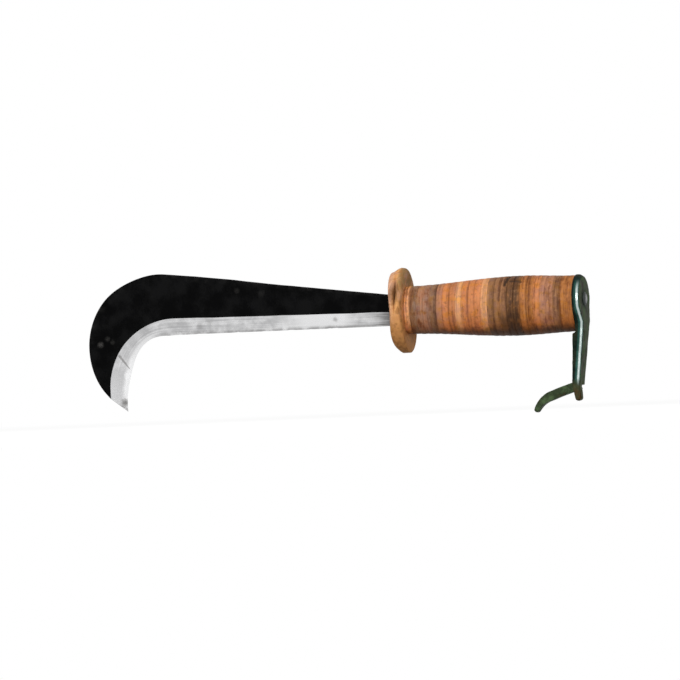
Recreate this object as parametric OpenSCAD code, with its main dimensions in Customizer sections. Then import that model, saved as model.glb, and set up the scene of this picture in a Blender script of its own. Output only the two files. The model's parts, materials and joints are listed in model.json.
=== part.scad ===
// Billhook with a beaked blade, a grip of stacked leather washers and a belt hook on its butt.
// X runs along the grip toward the butt, Z points to the spine, Y is the blade's thickness.
// The origin is the middle of the grip, on its axis. All sizes are millimetres.

/* [Grip] */
// Number of leather washers on the grip
washer_count = 26; // [20:1:32]
// Thickness of one grip washer
washer_thickness = 4.7; // [4:0.1:5.4]
// Half the height of the grip behind the guard
grip_front_half = 16.6; // [15:0.1:18.5]
// Half the height of the grip where it is fullest
grip_belly_half = 20.8; // [19:0.1:23]
// Half the height of the grip at the butt
grip_butt_half = 19.5; // [18:0.1:20.5]
// Distance from the guard to where the grip is fullest
belly_from_guard = 82; // [70:1:90]
// Width of the oval grip for each millimetre of its height
grip_oval = 0.8; // [0.72:0.01:0.95]
// How far both rims of a grip washer are eased back
washer_ease = 0.4; // [0.2:0.1:0.8]

/* [Guard] */
// Half the height of the oval guard
guard_half_height = 30; // [26:0.5:34]
// Half the width of the oval guard
guard_half_width = 24; // [21:0.5:28]
// Thickness of the front guard disc
guard_front_thickness = 3.8; // [3.6:0.1:5]
// Thickness of the rear guard disc
guard_rear_thickness = 4.1; // [3.6:0.1:5]
// How far the free lobes of the guard stand out past the part that is squeezed between blade and grip
guard_swell = 1.3; // [0:0.1:2]
// Rounding of the outer rims of the guard
guard_round = 2; // [0.8:0.1:2.4]
// Rounding of the rims where the two guard discs meet
guard_groove = 0.8; // [0.3:0.1:1.2]

/* [Blade] */
// Length of the blade from the guard to its nose
blade_reach = 223.5; // [190:0.5:260]
// Thickness of the blade
blade_thickness = 4.5; // [3.5:0.1:6]
// Height of the spine above the grip's axis at the guard
spine_root = 11; // [9:0.5:14]
// Angle between the spine and the grip's axis, in degrees
spine_angle = 7.3; // [5:0.1:9]
// Radius of the rounded back of the beak
back_radius = 50; // [46:0.5:54]
// Depth of the straight cutting edge below the grip's axis
edge_drop = 10.4; // [9:0.1:12]
// Radius of the cutting edge in the throat
throat_radius = 36; // [31:0.5:40]
// Width of the beak from its back to its cutting edge
beak_width = 26; // [24:0.5:29]
// Depth of the tip below the grip's axis
tip_drop = 62.5; // [58:0.5:68]
// Width of the ground bevel at the guard
bevel_root_width = 9.6; // [8:0.1:11]
// Width of the ground bevel in the throat and on the beak
bevel_width = 11.5; // [10:0.1:13]
// Thickness left at the cutting edge
edge_land = 0.4; // [0.2:0.1:0.8]

/* [Tang] */
// Thickness of the tang
tang_thickness = 5.4; // [5.2:0.1:8]
// Height of the tang at the guard
tang_root_height = 15; // [12:0.5:18]
// Height of the tang at the butt
tang_end_height = 9; // [8:0.5:11]
// Height of the tang's round end above the grip's axis
neck_height = 3; // [0:0.5:4]
// Radius of the round end on which the hook turns
neck_radius = 2.5; // [2:0.1:2.6]
// Radius of the peened head
head_radius = 5; // [4:0.1:6]
// Height of the peened head
head_height = 1.8; // [1.2:0.1:3.2]
// Gap all round the tang in the leather
slot_clearance = 0.2; // [0.1:0.05:0.5]

/* [Belt hook] */
// Radius of the round plate over the butt
plate_radius = 17.2; // [15:0.2:20]
// Thickness of the plate
plate_thickness = 5; // [4:0.1:6]
// Width of the arm under the plate
arm_top_width = 20.5; // [17:0.5:24]
// Width of the arm at the slit
arm_low_width = 17.5; // [14:0.5:20]
// Thickness of the arm under the plate
arm_top_thickness = 6.3; // [5.5:0.1:8]
// Thickness of the arm at the slit
arm_low_thickness = 5.2; // [4.4:0.1:6]
// Distance from the grip's axis down to the root of the tongue
arm_drop = 57; // [50:0.5:66]
// How far the arm gets thicker toward the blade below the butt
arm_step = 2.2; // [0:0.1:3]
// Lean of the lower arm toward the blade, in degrees
arm_lean = 3.3; // [0:0.1:6]
// Thickness of the tongue at its root
tongue_thickness = 6.4; // [5:0.1:7.5]
// Thickness of the tongue at its tip
tongue_tip_thickness = 3.4; // [2:0.1:4.5]
// Length of the gently curved part of the tongue
tongue_length = 23; // [18:0.5:30]
// Length of the curled tip of the tongue
tongue_curl_length = 13.5; // [8:0.5:16]
// Length of the heel below the root of the tongue
heel_length = 11.5; // [6:0.5:14]
// Thickness of the heel
heel_thickness = 4.8; // [3.5:0.1:5.2]
// Width of the slit between tongue and heel
slit_width = 0.8; // [0.4:0.1:1.6]
// Radial clearance of the plate's bore on the tang's round end
neck_clearance = 0.05; // [0.02:0.01:0.1]
// Gap between the plate and what it turns against on either side
plate_gap = 0.1; // [0.05:0.05:0.3]

/* [Hidden] */
$fn = 72;
steel_black = [0.10, 0.10, 0.11];
steel_green = [0.17, 0.21, 0.19];
guard_tan = [0.76, 0.54, 0.34];
tan = [0.78, 0.56, 0.38];
rose = [0.66, 0.49, 0.39];
orange = [0.79, 0.53, 0.37];
umber = [0.50, 0.37, 0.27];
dark = [0.35, 0.26, 0.18];
amber = [0.62, 0.40, 0.21];
// Tones of the leather from the guard to the butt
washer_tones = [
    tan, umber, rose, rose, umber, rose, orange, orange, tan, orange, orange, orange, tan,
    umber, umber, umber, dark, dark, amber, amber, orange, rose, rose, umber, amber, amber
];

grip_length = washer_count * washer_thickness;
grip_front_x = -grip_length / 2;
grip_back_x = grip_length / 2;
guard_seam_x = grip_front_x - guard_rear_thickness;
guard_face_x = guard_seam_x - guard_front_thickness;
// The squeezed middle of the guard is a little larger than the grip
guard_flat_margin = 0.8;
guard_flat_half_height = grip_front_half + guard_flat_margin;
guard_flat_half_width = grip_front_half * grip_oval + guard_flat_margin;

// Blade outline in X and Z
nose_x = guard_face_x - blade_reach;
beak_edge_x = nose_x + beak_width;
back_centre_x = nose_x + back_radius;
spine_end_x = back_centre_x + back_radius * sin(spine_angle);
spine_end_z = spine_root + (guard_face_x - spine_end_x) * tan(spine_angle);
back_centre = [back_centre_x, spine_end_z - back_radius * cos(spine_angle)];
throat_centre = [beak_edge_x + throat_radius, -edge_drop - throat_radius];
bevel_radius = throat_radius + bevel_width;
bevel_end_x = beak_edge_x - bevel_width;
// Angles on the back: spine, level with the throat's centre, and where the bevel runs out
back_from = 90 - spine_angle;
back_mid = 180 + asin((back_centre[1] - throat_centre[1]) / back_radius);
back_to = 360 - acos((bevel_end_x - back_centre[0]) / back_radius);
back_end = on_circle(back_centre, back_radius, back_to);
throat_steps = 30;
guard_step = 6;
beak_steps = 5;

// Tang and its round end
tang_root_z = 0.5;
root_gap = 0.05;
neck_set_in = 3;
neck_overlap = 4;
slot_overrun = 10;
// A thin core that ties the tang into the blade
core_half = 1.4;
core_into_blade = 12;
core_into_tang = 6;
core_low_z = 1;
core_high_z = 6;
tang_end_x = grip_back_x - neck_set_in;
plate_x = grip_back_x + plate_gap;
plate_back_x = plate_x + plate_thickness;
head_x = plate_back_x + plate_gap;

// Belt hook. The arm stays flat until it is clear of the leather on every side, then steps in and leans
arm_bend_z = -grip_butt_half - 1.5;
arm_step_height = 2;
arm_step_z = arm_bend_z - arm_step_height;
arm_low_x = plate_x - arm_step - (arm_drop + arm_step_z) * tan(arm_lean);
// The arm starts inside the plate, gets thicker below the peened head, clear of it all round, and then thins
arm_start_z = 4;
arm_swell_z = neck_height - head_radius - 1;
arm_shoulder_z = -10;
arm_full_z = -13;
arm_sink = 0.2;
arm_foot = 1;
arm_foot_slope = 3;
tongue_heading = 195;
tongue_root = [arm_low_x + arm_low_thickness / 2, -arm_drop];
tongue_radius = 200;
curl_radius = 18;
tongue_turn = tongue_length / tongue_radius * 180 / PI;
curl_turn = tongue_curl_length / curl_radius * 180 / PI;
heel_heading = 278;
heel_overlap = 4;
heel_set_back = 0.5;
bore_overrun = 1;

function washer_name(i) = str("grip_washer_", i < 10 ? "0" : "", i);
function on_circle(centre, r, a) = [centre[0] + r * cos(a), centre[1] + r * sin(a)];
function mix(a, b, f) = a + (b - a) * f;
function ease(f) = (1 - cos(180 * min(1, max(0, f)))) / 2;

// Half height of the grip at distance d behind the guard
function grip_half(d) = d < belly_from_guard
    ? mix(grip_front_half, grip_belly_half, ease(d / belly_from_guard))
    : mix(grip_belly_half, grip_butt_half, ease((d - belly_from_guard) / (grip_length - belly_from_guard)));

// Height of the tang's centre line and half its height at x
function tang_share(x) = (x - guard_face_x) / (tang_end_x - guard_face_x);
function tang_mid(x) = mix(tang_root_z, neck_height, tang_share(x));
function tang_half(x) = mix(tang_root_height, tang_end_height, tang_share(x)) / 2;

// Point and heading after an arc of the given length that bends to the left
function arc_point(start, heading, r, turn) =
    [start[0] + r * (sin(heading + turn) - sin(heading)), start[1] - r * (cos(heading + turn) - cos(heading))];

// Closed outline of a band along a path of [x, z, heading, width], with a round far end
function band(path) =
    let (last = path[len(path) - 1])
    concat(
        [for (p = path) on_circle([p[0], p[1]], p[3] / 2, p[2] + 90)],
        [for (a = [75 : -15 : -75]) on_circle([last[0], last[1]], last[3] / 2, last[2] + a)],
        [for (i = [len(path) - 1 : -1 : 0]) on_circle([path[i][0], path[i][1]], path[i][3] / 2, path[i][2] - 90)]
    );

// One ring of the blade: spine, bevel line and cutting edge on both sides
function blade_ring(spine, bevel, edge, half) = [
    [spine[0], half, spine[1]],
    [bevel[0], half, bevel[1]],
    [edge[0], edge_land / 2, edge[1]],
    [edge[0], -edge_land / 2, edge[1]],
    [bevel[0], -half, bevel[1]],
    [spine[0], -half, spine[1]]
];
function throat_ring(f) = blade_ring(
    on_circle(back_centre, back_radius, mix(back_from, back_mid, f)),
    on_circle(throat_centre, bevel_radius, 90 + 90 * f),
    on_circle(throat_centre, throat_radius, 90 + 90 * f),
    blade_thickness / 2
);
function beak_ring(f) = blade_ring(
    on_circle(back_centre, back_radius, mix(back_mid, back_to, f)),
    [bevel_end_x, mix(throat_centre[1], back_end[1], f)],
    [beak_edge_x, mix(throat_centre[1], back_end[1], f)],
    blade_thickness / 2
);
// Oval ring of points at x
function oval_ring(x, half_width, half_height) =
    [for (t = [0 : guard_step : 360 - guard_step]) [x, half_width * sin(t), half_height * cos(t)]];
// One ring of a guard disc's rim at x, where a rounding of radius r has come to angle a
function rim_ring(x, r, a) =
    let (inset = r * (1 - sin(a)))
    oval_ring(x, guard_half_width - inset, guard_half_height - inset);
// Rings of a rounded rim whose face lies at x; side is 1 where it looks toward the butt, else -1
function rim_rings(x, side, r, angles) = [for (a = angles) rim_ring(x - side * r * (1 - cos(a)), r, a)];
function differ(a, b) = norm(a - b) > 0.001;
function full_triangle(p, t) = differ(p[t[0]], p[t[1]]) && differ(p[t[1]], p[t[2]]) && differ(p[t[2]], p[t[0]]);

// Extrudes an outline given in X and Z through a range of Y
module side_extrude(y0, y1) {
    translate([0, y1, 0]) rotate([90, 0, 0]) linear_extrude(y1 - y0) children();
}

// Extrudes an outline given in Y and Z through a range of X
module front_extrude(x0, x1) {
    translate([x0, 0, 0]) rotate([90, 0, 90]) linear_extrude(x1 - x0) children();
}

// Oval disc on the X axis between x0 and x1, with its half width in Y and half height in Z
module oval_disc(x0, x1, half_y, half_z) {
    front_extrude(x0, x1) scale([half_y / half_z, 1]) circle(half_z);
}

// The tang between two places on X, grown by gap
module tang_bar(x0, x1, gap) {
    side_extrude(-tang_thickness / 2 - gap, tang_thickness / 2 + gap) polygon([
        [x0, tang_mid(x0) + tang_half(x0) + gap],
        [x1, tang_mid(x1) + tang_half(x1) + gap],
        [x1, tang_mid(x1) - tang_half(x1) - gap],
        [x0, tang_mid(x0) - tang_half(x0) - gap]
    ]);
}

module tang_slot() {
    tang_bar(guard_face_x - slot_overrun, grip_back_x + slot_overrun, slot_clearance);
}

// Solid through rings of points, from the butt toward the blade, each clockwise seen from the butt
module ring_solid(rings) {
    n = len(rings[0]);
    last = n * (len(rings) - 1);
    points = [for (ring = rings) each ring];
    sides = [for (k = [0 : n : last - n]) for (j = [0 : n - 1])
        each [
            [k + j, k + n + j, k + n + (j + 1) % n],
            [k + j, k + n + (j + 1) % n, k + (j + 1) % n]
        ]
    ];
    ends = [for (j = [1 : n - 2]) each [[0, j, j + 1], [last, last + j + 1, last + j]]];
    polyhedron(points, [for (t = concat(ends, sides)) if (full_triangle(points, t)) t]);
}

// The blade from the guard to the tip
module blade_body() {
    tip = [beak_edge_x, -tip_drop];
    root_ring = blade_ring(
        [guard_face_x, spine_root],
        [guard_face_x, bevel_root_width - edge_drop],
        [guard_face_x, -edge_drop],
        blade_thickness / 2
    );
    ring_solid(concat(
        [root_ring],
        [for (i = [0 : throat_steps]) throat_ring(i / throat_steps)],
        [for (i = [1 : beak_steps]) beak_ring(i / beak_steps)],
        [blade_ring(tip, tip, tip, edge_land / 2)]
    ));
}

module blade() {
    color(steel_black) union() {
        blade_body();
        // The tang starts just behind the guard's front face
        tang_bar(guard_face_x + root_gap, tang_end_x, 0);
        side_extrude(-core_half, core_half) polygon([
            [guard_face_x - core_into_blade, core_low_z],
            [guard_face_x + core_into_tang, core_low_z],
            [guard_face_x + core_into_tang, core_high_z],
            [guard_face_x - core_into_blade, core_high_z]
        ]);
        translate([0, 0, neck_height]) rotate([0, 90, 0]) rotate_extrude() polygon(concat(
            [[0, tang_end_x - neck_overlap], [neck_radius, tang_end_x - neck_overlap]],
            [[neck_radius, head_x], [head_radius, head_x]],
            [for (a = [15 : 15 : 90]) [head_radius * cos(a), head_x + head_height * sin(a)]]
        ));
    }
}

// A guard disc between two places on X. Each free lobe stands out by a swell and has a rounded rim
module guard_disc(front_x, rear_x, front_swell, rear_swell, front_round, rear_round) {
    flat_rear = oval_ring(rear_x, guard_flat_half_width, guard_flat_half_height);
    flat_front = oval_ring(front_x, guard_flat_half_width, guard_flat_half_height);
    color(guard_tan) difference() {
        ring_solid(concat(
            [flat_rear],
            rim_rings(rear_x + rear_swell, 1, rear_round, [0 : 30 : 90]),
            rim_rings(front_x - front_swell, -1, front_round, [90 : -30 : 0]),
            [flat_front]
        ));
        tang_slot();
    }
}

module guard_front() {
    guard_disc(guard_face_x, guard_seam_x, guard_swell, 0, guard_round, guard_groove);
}

module guard_rear() {
    guard_disc(guard_seam_x, grip_front_x, 0, guard_swell, guard_groove, guard_round);
}

// Grip washer i, counted from the guard
module grip_washer(i) {
    x0 = grip_front_x + (i - 1) * washer_thickness;
    x1 = x0 + washer_thickness;
    half_z = grip_half((i - 0.5) * washer_thickness);
    low_z = half_z - washer_ease;
    color(washer_tones[(i - 1) % len(washer_tones)]) difference() {
        union() {
            oval_disc(x0, x1, low_z * grip_oval, low_z);
            oval_disc(x0 + washer_ease, x1 - washer_ease, half_z * grip_oval, half_z);
        }
        tang_slot();
    }
}

// Side outline of the arm, from inside the plate to the slit
module arm_side() {
    mid_x = plate_x + arm_top_thickness;
    polygon([
        [plate_x, arm_start_z],
        [plate_x, arm_bend_z],
        [plate_x - arm_step, arm_step_z],
        [arm_low_x, -arm_drop],
        [arm_low_x + arm_low_thickness, -arm_drop + arm_foot_slope],
        [mid_x, arm_full_z],
        [plate_back_x - arm_sink, arm_swell_z],
        [plate_back_x - arm_sink, arm_start_z]
    ]);
}

// Front outline of the arm in Y and Z
module arm_front() {
    polygon([
        [-arm_top_width / 2, arm_start_z],
        [-arm_top_width / 2, arm_shoulder_z],
        [-arm_low_width / 2, -arm_drop - arm_foot],
        [arm_low_width / 2, -arm_drop - arm_foot],
        [arm_top_width / 2, arm_shoulder_z],
        [arm_top_width / 2, arm_start_z]
    ]);
}

// The long half of the slit arm, bent toward the blade, on the far side
module tongue() {
    bend = arc_point(tongue_root, tongue_heading, tongue_radius, tongue_turn);
    path = concat(
        [for (f = [0 : 0.125 : 1]) concat(
            arc_point(tongue_root, tongue_heading, tongue_radius, f * tongue_turn),
            [tongue_heading + f * tongue_turn, tongue_thickness]
        )],
        [for (f = [0.125 : 0.125 : 1]) concat(
            arc_point(bend, tongue_heading + tongue_turn, curl_radius, f * curl_turn),
            [tongue_heading + tongue_turn + f * curl_turn, mix(tongue_thickness, tongue_tip_thickness, f)]
        )]
    );
    side_extrude(slit_width / 2, arm_low_width / 2) polygon(band(path));
}

// The short half of the slit arm, on the near side
module heel() {
    start = [tongue_root[0] - heel_set_back, -arm_drop + heel_overlap];
    reach = heel_length + heel_overlap - heel_thickness / 2;
    path = [
        concat(start, [heel_heading, heel_thickness]),
        concat(on_circle(start, reach, heel_heading), [heel_heading, heel_thickness])
    ];
    side_extrude(-arm_low_width / 2, -slit_width / 2) polygon(band(path));
}

module belt_hook() {
    color(steel_green) difference() {
        union() {
            translate([plate_x, 0, neck_height]) rotate([0, 90, 0])
                cylinder(h = plate_thickness, r = plate_radius);
            intersection() {
                side_extrude(-arm_top_width, arm_top_width) arm_side();
                front_extrude(arm_low_x - arm_top_width, plate_x + arm_top_width) arm_front();
            }
            tongue();
            heel();
        }
        translate([plate_x - bore_overrun, 0, neck_height]) rotate([0, 90, 0])
            cylinder(h = plate_thickness + 2 * bore_overrun, r = neck_radius + neck_clearance);
    }
}

blade();
guard_front();
guard_rear();
for (i = [1 : washer_count])
    grip_washer(i);
belt_hook();
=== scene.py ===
"""Dresses the billhook: forged blade, leather guard, stacked leather grip and belt hook on a pale floor."""

import json
import math
import random
from functools import reduce

import bmesh
import bpy
from bpy.props import FloatProperty, FloatVectorProperty, IntProperty, PointerProperty
from bpy.types import Operator, Panel, PropertyGroup
from mathutils import Matrix, Vector, noise


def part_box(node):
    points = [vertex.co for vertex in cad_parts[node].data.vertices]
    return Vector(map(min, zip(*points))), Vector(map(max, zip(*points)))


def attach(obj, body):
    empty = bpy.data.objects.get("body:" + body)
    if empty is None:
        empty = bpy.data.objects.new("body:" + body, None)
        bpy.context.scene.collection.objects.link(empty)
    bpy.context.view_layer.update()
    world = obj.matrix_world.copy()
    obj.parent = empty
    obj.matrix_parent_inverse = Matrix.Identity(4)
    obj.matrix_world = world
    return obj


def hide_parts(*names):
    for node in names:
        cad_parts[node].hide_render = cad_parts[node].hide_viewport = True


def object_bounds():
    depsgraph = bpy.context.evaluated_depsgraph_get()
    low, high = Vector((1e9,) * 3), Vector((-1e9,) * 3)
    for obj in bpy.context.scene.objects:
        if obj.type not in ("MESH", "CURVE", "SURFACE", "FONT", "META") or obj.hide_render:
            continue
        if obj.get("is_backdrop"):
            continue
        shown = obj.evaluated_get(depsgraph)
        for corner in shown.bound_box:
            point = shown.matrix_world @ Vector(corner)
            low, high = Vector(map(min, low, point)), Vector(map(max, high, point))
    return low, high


bl_info = {
    "name": "Billhook",
    "version": (1, 0, 0),
    "blender": (4, 5, 0),
    "location": "View3D > Sidebar > Billhook",
    "description": "Builds a billhook with a stacked leather grip and a belt hook",
    "category": "Object",
}

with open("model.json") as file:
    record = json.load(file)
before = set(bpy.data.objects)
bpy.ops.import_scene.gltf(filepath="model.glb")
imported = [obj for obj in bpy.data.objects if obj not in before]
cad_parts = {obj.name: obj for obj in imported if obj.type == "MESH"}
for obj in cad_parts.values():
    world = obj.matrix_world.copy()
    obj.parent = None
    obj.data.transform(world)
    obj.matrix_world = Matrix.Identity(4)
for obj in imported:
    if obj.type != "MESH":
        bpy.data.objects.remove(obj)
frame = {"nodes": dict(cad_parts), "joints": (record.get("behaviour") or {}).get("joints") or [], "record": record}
CAD_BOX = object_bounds()

MM = 0.001
TOOL, HOOK = "tool", "hook"
SWIVEL = Vector(frame["joints"][0]["pos_m"])
WASHERS = sorted(name for name in frame["nodes"] if name.startswith("grip_washer_"))
WASHER_MIDDLES = [sum(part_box(name), Vector()).x / 2 for name in WASHERS]
WASHER_HALVES = [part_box(name)[1].z for name in WASHERS]
WASHER_PITCH = WASHER_MIDDLES[1] - WASHER_MIDDLES[0]
SLOT_OF = {part["node"]: part["material_slot"] for part in frame["record"]["subparts"]}
# How far the guard's free lobes stand out past its squeezed middle
GUARD_SWELL = 1.3 * MM
GUARD_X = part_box("guard_front")[0].x + GUARD_SWELL
GUARD_SEAM_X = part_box("guard_rear")[0].x
GRIP_BACK_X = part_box(WASHERS[-1])[1].x
# Gap in which the hook's plate turns on the leather
PLATE_GAP = 0.1 * MM
PLATE_X = GRIP_BACK_X + PLATE_GAP
# Number of pixels along each side of the picture
PICTURE = 680


def length(name, description, default):
    """A length in metres that a user can change."""
    return FloatProperty(name=name, description=description, default=default, unit="LENGTH", precision=5)


def angle(name, description, degrees):
    """An angle that a user can change."""
    return FloatProperty(name=name, description=description, default=math.radians(degrees), subtype="ANGLE")


def colour(name, description, *rgb):
    """A colour that a user can change."""
    return FloatVectorProperty(name=name, description=description, default=rgb, subtype="COLOR", min=0, max=1)


def factor(name, description, default):
    """A plain number that a user can change."""
    return FloatProperty(name=name, description=description, default=default)


class BladeSizes(PropertyGroup):
    """Sizes of the blade and its tang."""

    thickness: length("Thickness", "Thickness of the blade", 4.5 * MM)
    spine_root: length("Spine at guard", "Height of the spine above the grip's axis at the guard", 11 * MM)
    spine_angle: angle("Spine angle", "Angle between the spine and the grip's axis", 7.3)
    back_radius: length("Back radius", "Radius of the rounded back of the beak", 50 * MM)
    back_drift: length("Back drift", "How far the back lies inside its arc above, and out below", 1.1 * MM)
    crest: length("Crest", "How far the spine is raised before it turns into the back", 0.6 * MM)
    edge_drop: length("Edge drop", "Depth of the straight edge below the grip's axis", 10.4 * MM)
    throat_radius: length("Throat radius", "Radius of the cutting edge in the throat", 36 * MM)
    throat_hollow: length("Throat hollow", "How far the stoned edge lies off its arc in the throat", 1.9 * MM)
    beak_width: length("Beak width", "Width of the beak from its back to its edge", 26 * MM)
    bevel_root: length("Bevel at guard", "Width of the ground bevel at the guard", 9.6 * MM)
    bevel: length("Bevel", "Width of the ground bevel in the throat and on the beak", 11.5 * MM)
    land: length("Edge land", "Thickness left at the cutting edge", 0.4 * MM)
    arris: length("Arris", "Rounding of the spine's two arrises", 0.8 * MM)
    forging: length("Forging", "Height of the hammer's waves on the cheeks and the spine", 0.12 * MM)
    nicks: IntProperty(name="Nicks", description="Number of small nicks in the cutting edge", default=9)
    tang: length("Tang", "Thickness of the tang", 5.4 * MM)
    tang_root: length("Tang at guard", "Height of the tang at the guard", 15 * MM)
    tang_end: length("Tang at butt", "Height of the tang at the butt", 9 * MM)
    neck_radius: length("Neck radius", "Radius of the tang's round end", 2.5 * MM)
    head_radius: length("Head radius", "Radius of the peened head", 5 * MM)
    head_height: length("Head height", "Height of the peened head", 1.8 * MM)


class LeatherSizes(PropertyGroup):
    """Sizes of the guard discs and the grip washers."""

    slot_gap: length("Slot gap", "Gap between the tang and the leather", 0.2 * MM)
    oval: factor("Grip oval", "Width of the grip for each metre of its height", 0.8)
    crown: length("Crown", "How far the middle of a washer stands out from its rims", 0.10 * MM)
    rim: length("Rim", "Rounding of a washer's rims", 0.28 * MM)
    wander: length("Wander", "How far the leather's surface wanders from a true oval", 0.16 * MM)
    guard_rim: length("Guard rim", "Rounding of the guard's outer rims", 2 * MM)
    guard_slant: factor("Guard slant", "How much deeper rims are rounded low in front and high behind", 0.7)
    groove: length("Groove", "Rounding of the front disc's inner rim where the discs part most", 3.5 * MM)
    rear_groove: length("Rear groove", "Rounding of the rear disc's inner rim where they part most", 3.5 * MM)
    seam_rim: length("Seam rim", "Rounding of the inner rims where the discs stay together", 0.16 * MM)
    guard_margin: length("Guard margin", "How far the guard is squeezed flat past the first washer", 0.8 * MM)
    top_cut: length("Top cut", "How much lower the guard's top is in front than in its middle", 2.6 * MM)
    low_cut: length("Low cut", "How much higher the guard's foot is in front than in its middle", 3 * MM)
    guard_wander: length("Guard wander", "How far the guard's outline wanders", 0.35 * MM)


class HookSizes(PropertyGroup):
    """Sizes of the belt hook."""

    plate_radius: length("Plate radius", "Radius of the plate over the butt", 17.2 * MM)
    plate: length("Plate", "Thickness of the plate", 5 * MM)
    bore_gap: length("Bore gap", "Gap between the tang's round end and the plate", 0.3 * MM)
    arm_top_width: length("Arm top width", "Width of the arm under the plate", 20.5 * MM)
    arm_low_width: length("Arm low width", "Width of the arm at the slit", 17.5 * MM)
    arm_top: length("Arm top", "Thickness of the arm under the plate", 6.3 * MM)
    arm_low: length("Arm low", "Thickness of the arm at the slit", 5.2 * MM)
    arm_drop: length("Arm drop", "Depth of the tongue's root below the grip's axis", 57 * MM)
    arm_bend: length("Arm bend", "Depth below the grip's axis where the arm starts to lean", 21 * MM)
    arm_step: length("Arm step", "How far the arm gets thicker toward the blade below the butt", 2.2 * MM)
    arm_lean: angle("Arm lean", "Lean of the lower arm toward the blade", 3.3)
    chamfer: length("Chamfer", "Depth of the chamfer along the outer arrises of plate and arm", 2.4 * MM)
    tongue: length("Tongue", "Thickness of the tongue at its root", 6.4 * MM)
    tongue_tip: length("Tongue tip", "Thickness of the tongue at its tip", 3.4 * MM)
    tongue_heading: angle("Tongue heading", "Direction in which the tongue leaves the arm", 195)
    tongue_length: length("Tongue length", "Length of the gently curved part of the tongue", 23 * MM)
    tongue_radius: length("Tongue radius", "Radius of the gently curved part of the tongue", 200 * MM)
    curl_length: length("Curl length", "Length of the curled tip", 13.5 * MM)
    curl_radius: length("Curl radius", "Radius of the curled tip", 18 * MM)
    heel_heading: angle("Heel heading", "Direction in which the heel points", 278)
    heel: length("Heel", "Thickness of the heel", 4.8 * MM)
    heel_length: length("Heel length", "Length of the heel below the tongue's root", 11.5 * MM)
    slit: length("Slit", "Width of the slit between tongue and heel", 0.8 * MM)
    grain: length("Grain", "Size of the cells in which the forging is blended", 0.42 * MM)
    hammer: length("Hammer", "Height of the hammer's waves", 0.22 * MM)


class Finishes(PropertyGroup):
    """Colours of the steel and the leather."""

    scale_black: colour("Forge scale", "Black scale on the blade", 0.0004, 0.0004, 0.0005)
    scale_grey: colour("Worn scale", "Scale that has worn thin", 0.0062, 0.0062, 0.0064)
    ground: colour("Ground steel", "Bright ground bevel", 0.74, 0.74, 0.745)
    ground_dark: colour("Dull ground steel", "Duller streaks of the bevel", 0.43, 0.43, 0.435)
    # Also drawn as a painted highlight on the straight bevel
    honed: colour("Honed steel", "Freshly honed steel along the edge in the throat", 0.80, 0.80, 0.805)
    # Also painted shade: the guard's shadow on the bevel and the shade along its edge
    stain: colour("Stain", "Stains on the bevel and scuffs on the scale", 0.11, 0.105, 0.10)
    peened: colour("Peened steel", "Hammered end of the tang", 0.21, 0.215, 0.215)
    enamel: colour("Hook black", "Green-black enamel of the hook", 0.006, 0.014, 0.011)
    # Painted reflection: the teal sheen that a rounded arris shows beside the chamfer
    enamel_teal: colour("Hook teal", "Enamel worn thin beside the hook's chamfer", 0.045, 0.150, 0.122)
    enamel_worn: colour("Hook green", "Dull green on the hook's outer face", 0.096, 0.152, 0.068)
    enamel_brown: colour("Hook brown", "Brown mottling on the hook's outer face", 0.056, 0.062, 0.032)
    # Bare steel that also stands in for the painted highlight along the chamfer
    hook_bare: colour("Hook bare", "Steel rubbed bare along the hook's chamfer", 0.52, 0.60, 0.58)
    rust: colour("Rust", "Rust on the hook", 0.085, 0.036, 0.014)
    # Lit and shaded copies of one leather: the upper guard is painted lighter than the lower as painted light from
    # above
    guard: colour("Guard leather", "Leather of the upper guard", 0.92, 0.46, 0.17)
    guard_low: colour("Low guard leather", "Leather of the lower guard", 0.72, 0.33, 0.105)
    guard_lip: colour("Guard lip", "Pale worn front lip of the guard", 0.82, 0.46, 0.31)
    # Painted shade: olive darkening of the guard's upper rear
    guard_olive: colour("Guard olive", "Olive stain on the top of the guard", 0.33, 0.205, 0.078)
    leather_tan: colour("Tan", "Tan washers", 0.80, 0.42, 0.21)
    leather_rose: colour("Rose", "Rose-brown washers", 0.45, 0.216, 0.124)
    leather_orange: colour("Orange", "Orange washers", 0.65, 0.262, 0.105)
    leather_umber: colour("Umber", "Umber washers", 0.285, 0.142, 0.067)
    leather_dark: colour("Dark", "Dark washers", 0.130, 0.060, 0.022)
    leather_amber: colour("Amber", "Amber washers", 0.44, 0.176, 0.052)
    dust: colour("Dust", "Grey dust on the washers behind the guard", 0.30, 0.24, 0.20)
    # Also the colour of painted shade: the grip's underside and the guard's groove
    grime: colour("Grime", "Dirt in the seams of the leather", 0.030, 0.014, 0.006)


class Studio(PropertyGroup):
    """Camera, floor and lights."""

    azimuth: angle("Azimuth", "Camera's turn round the object", 15)
    roll: angle("Roll", "Camera's roll", 2.4)
    distance: length("Distance", "Distance from the camera to the grip", 15)
    pixel: length("Pixel", "Size of one pixel at the object", 0.697 * MM)
    grip_column: factor("Grip column", "Pixel column of the middle of the grip", 492.5)
    grip_row: factor("Grip row", "Pixel row of the middle of the grip", 306.8)
    sensor: length("Sensor", "Width of the camera's sensor", 36 * MM)
    floor_size: length("Floor", "Width of the floor", 14)
    floor_gap: length("Floor gap", "Gap under the lowest point", 0.5 * MM)
    pale: factor("Floor colour", "Brightness of the floor as the camera sees it", 0.94)
    bounce: factor("Floor bounce", "Share of the light that the floor throws back on the object", 0.24)
    lift: factor("Floor lift", "White added to the floor that the camera sees near the object", 0.6)
    shadow_reach: length("Shadow reach", "Distance up to which the floor shows the whole shadow", 0.5)
    sky: factor("Sky", "Strength of the light from all sides", 0.26)
    key: factor("Key", "Strength of the lamp from the upper front", 27)
    strip: factor("Strip", "Strength of the narrow lamp from the right front", 5)


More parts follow.
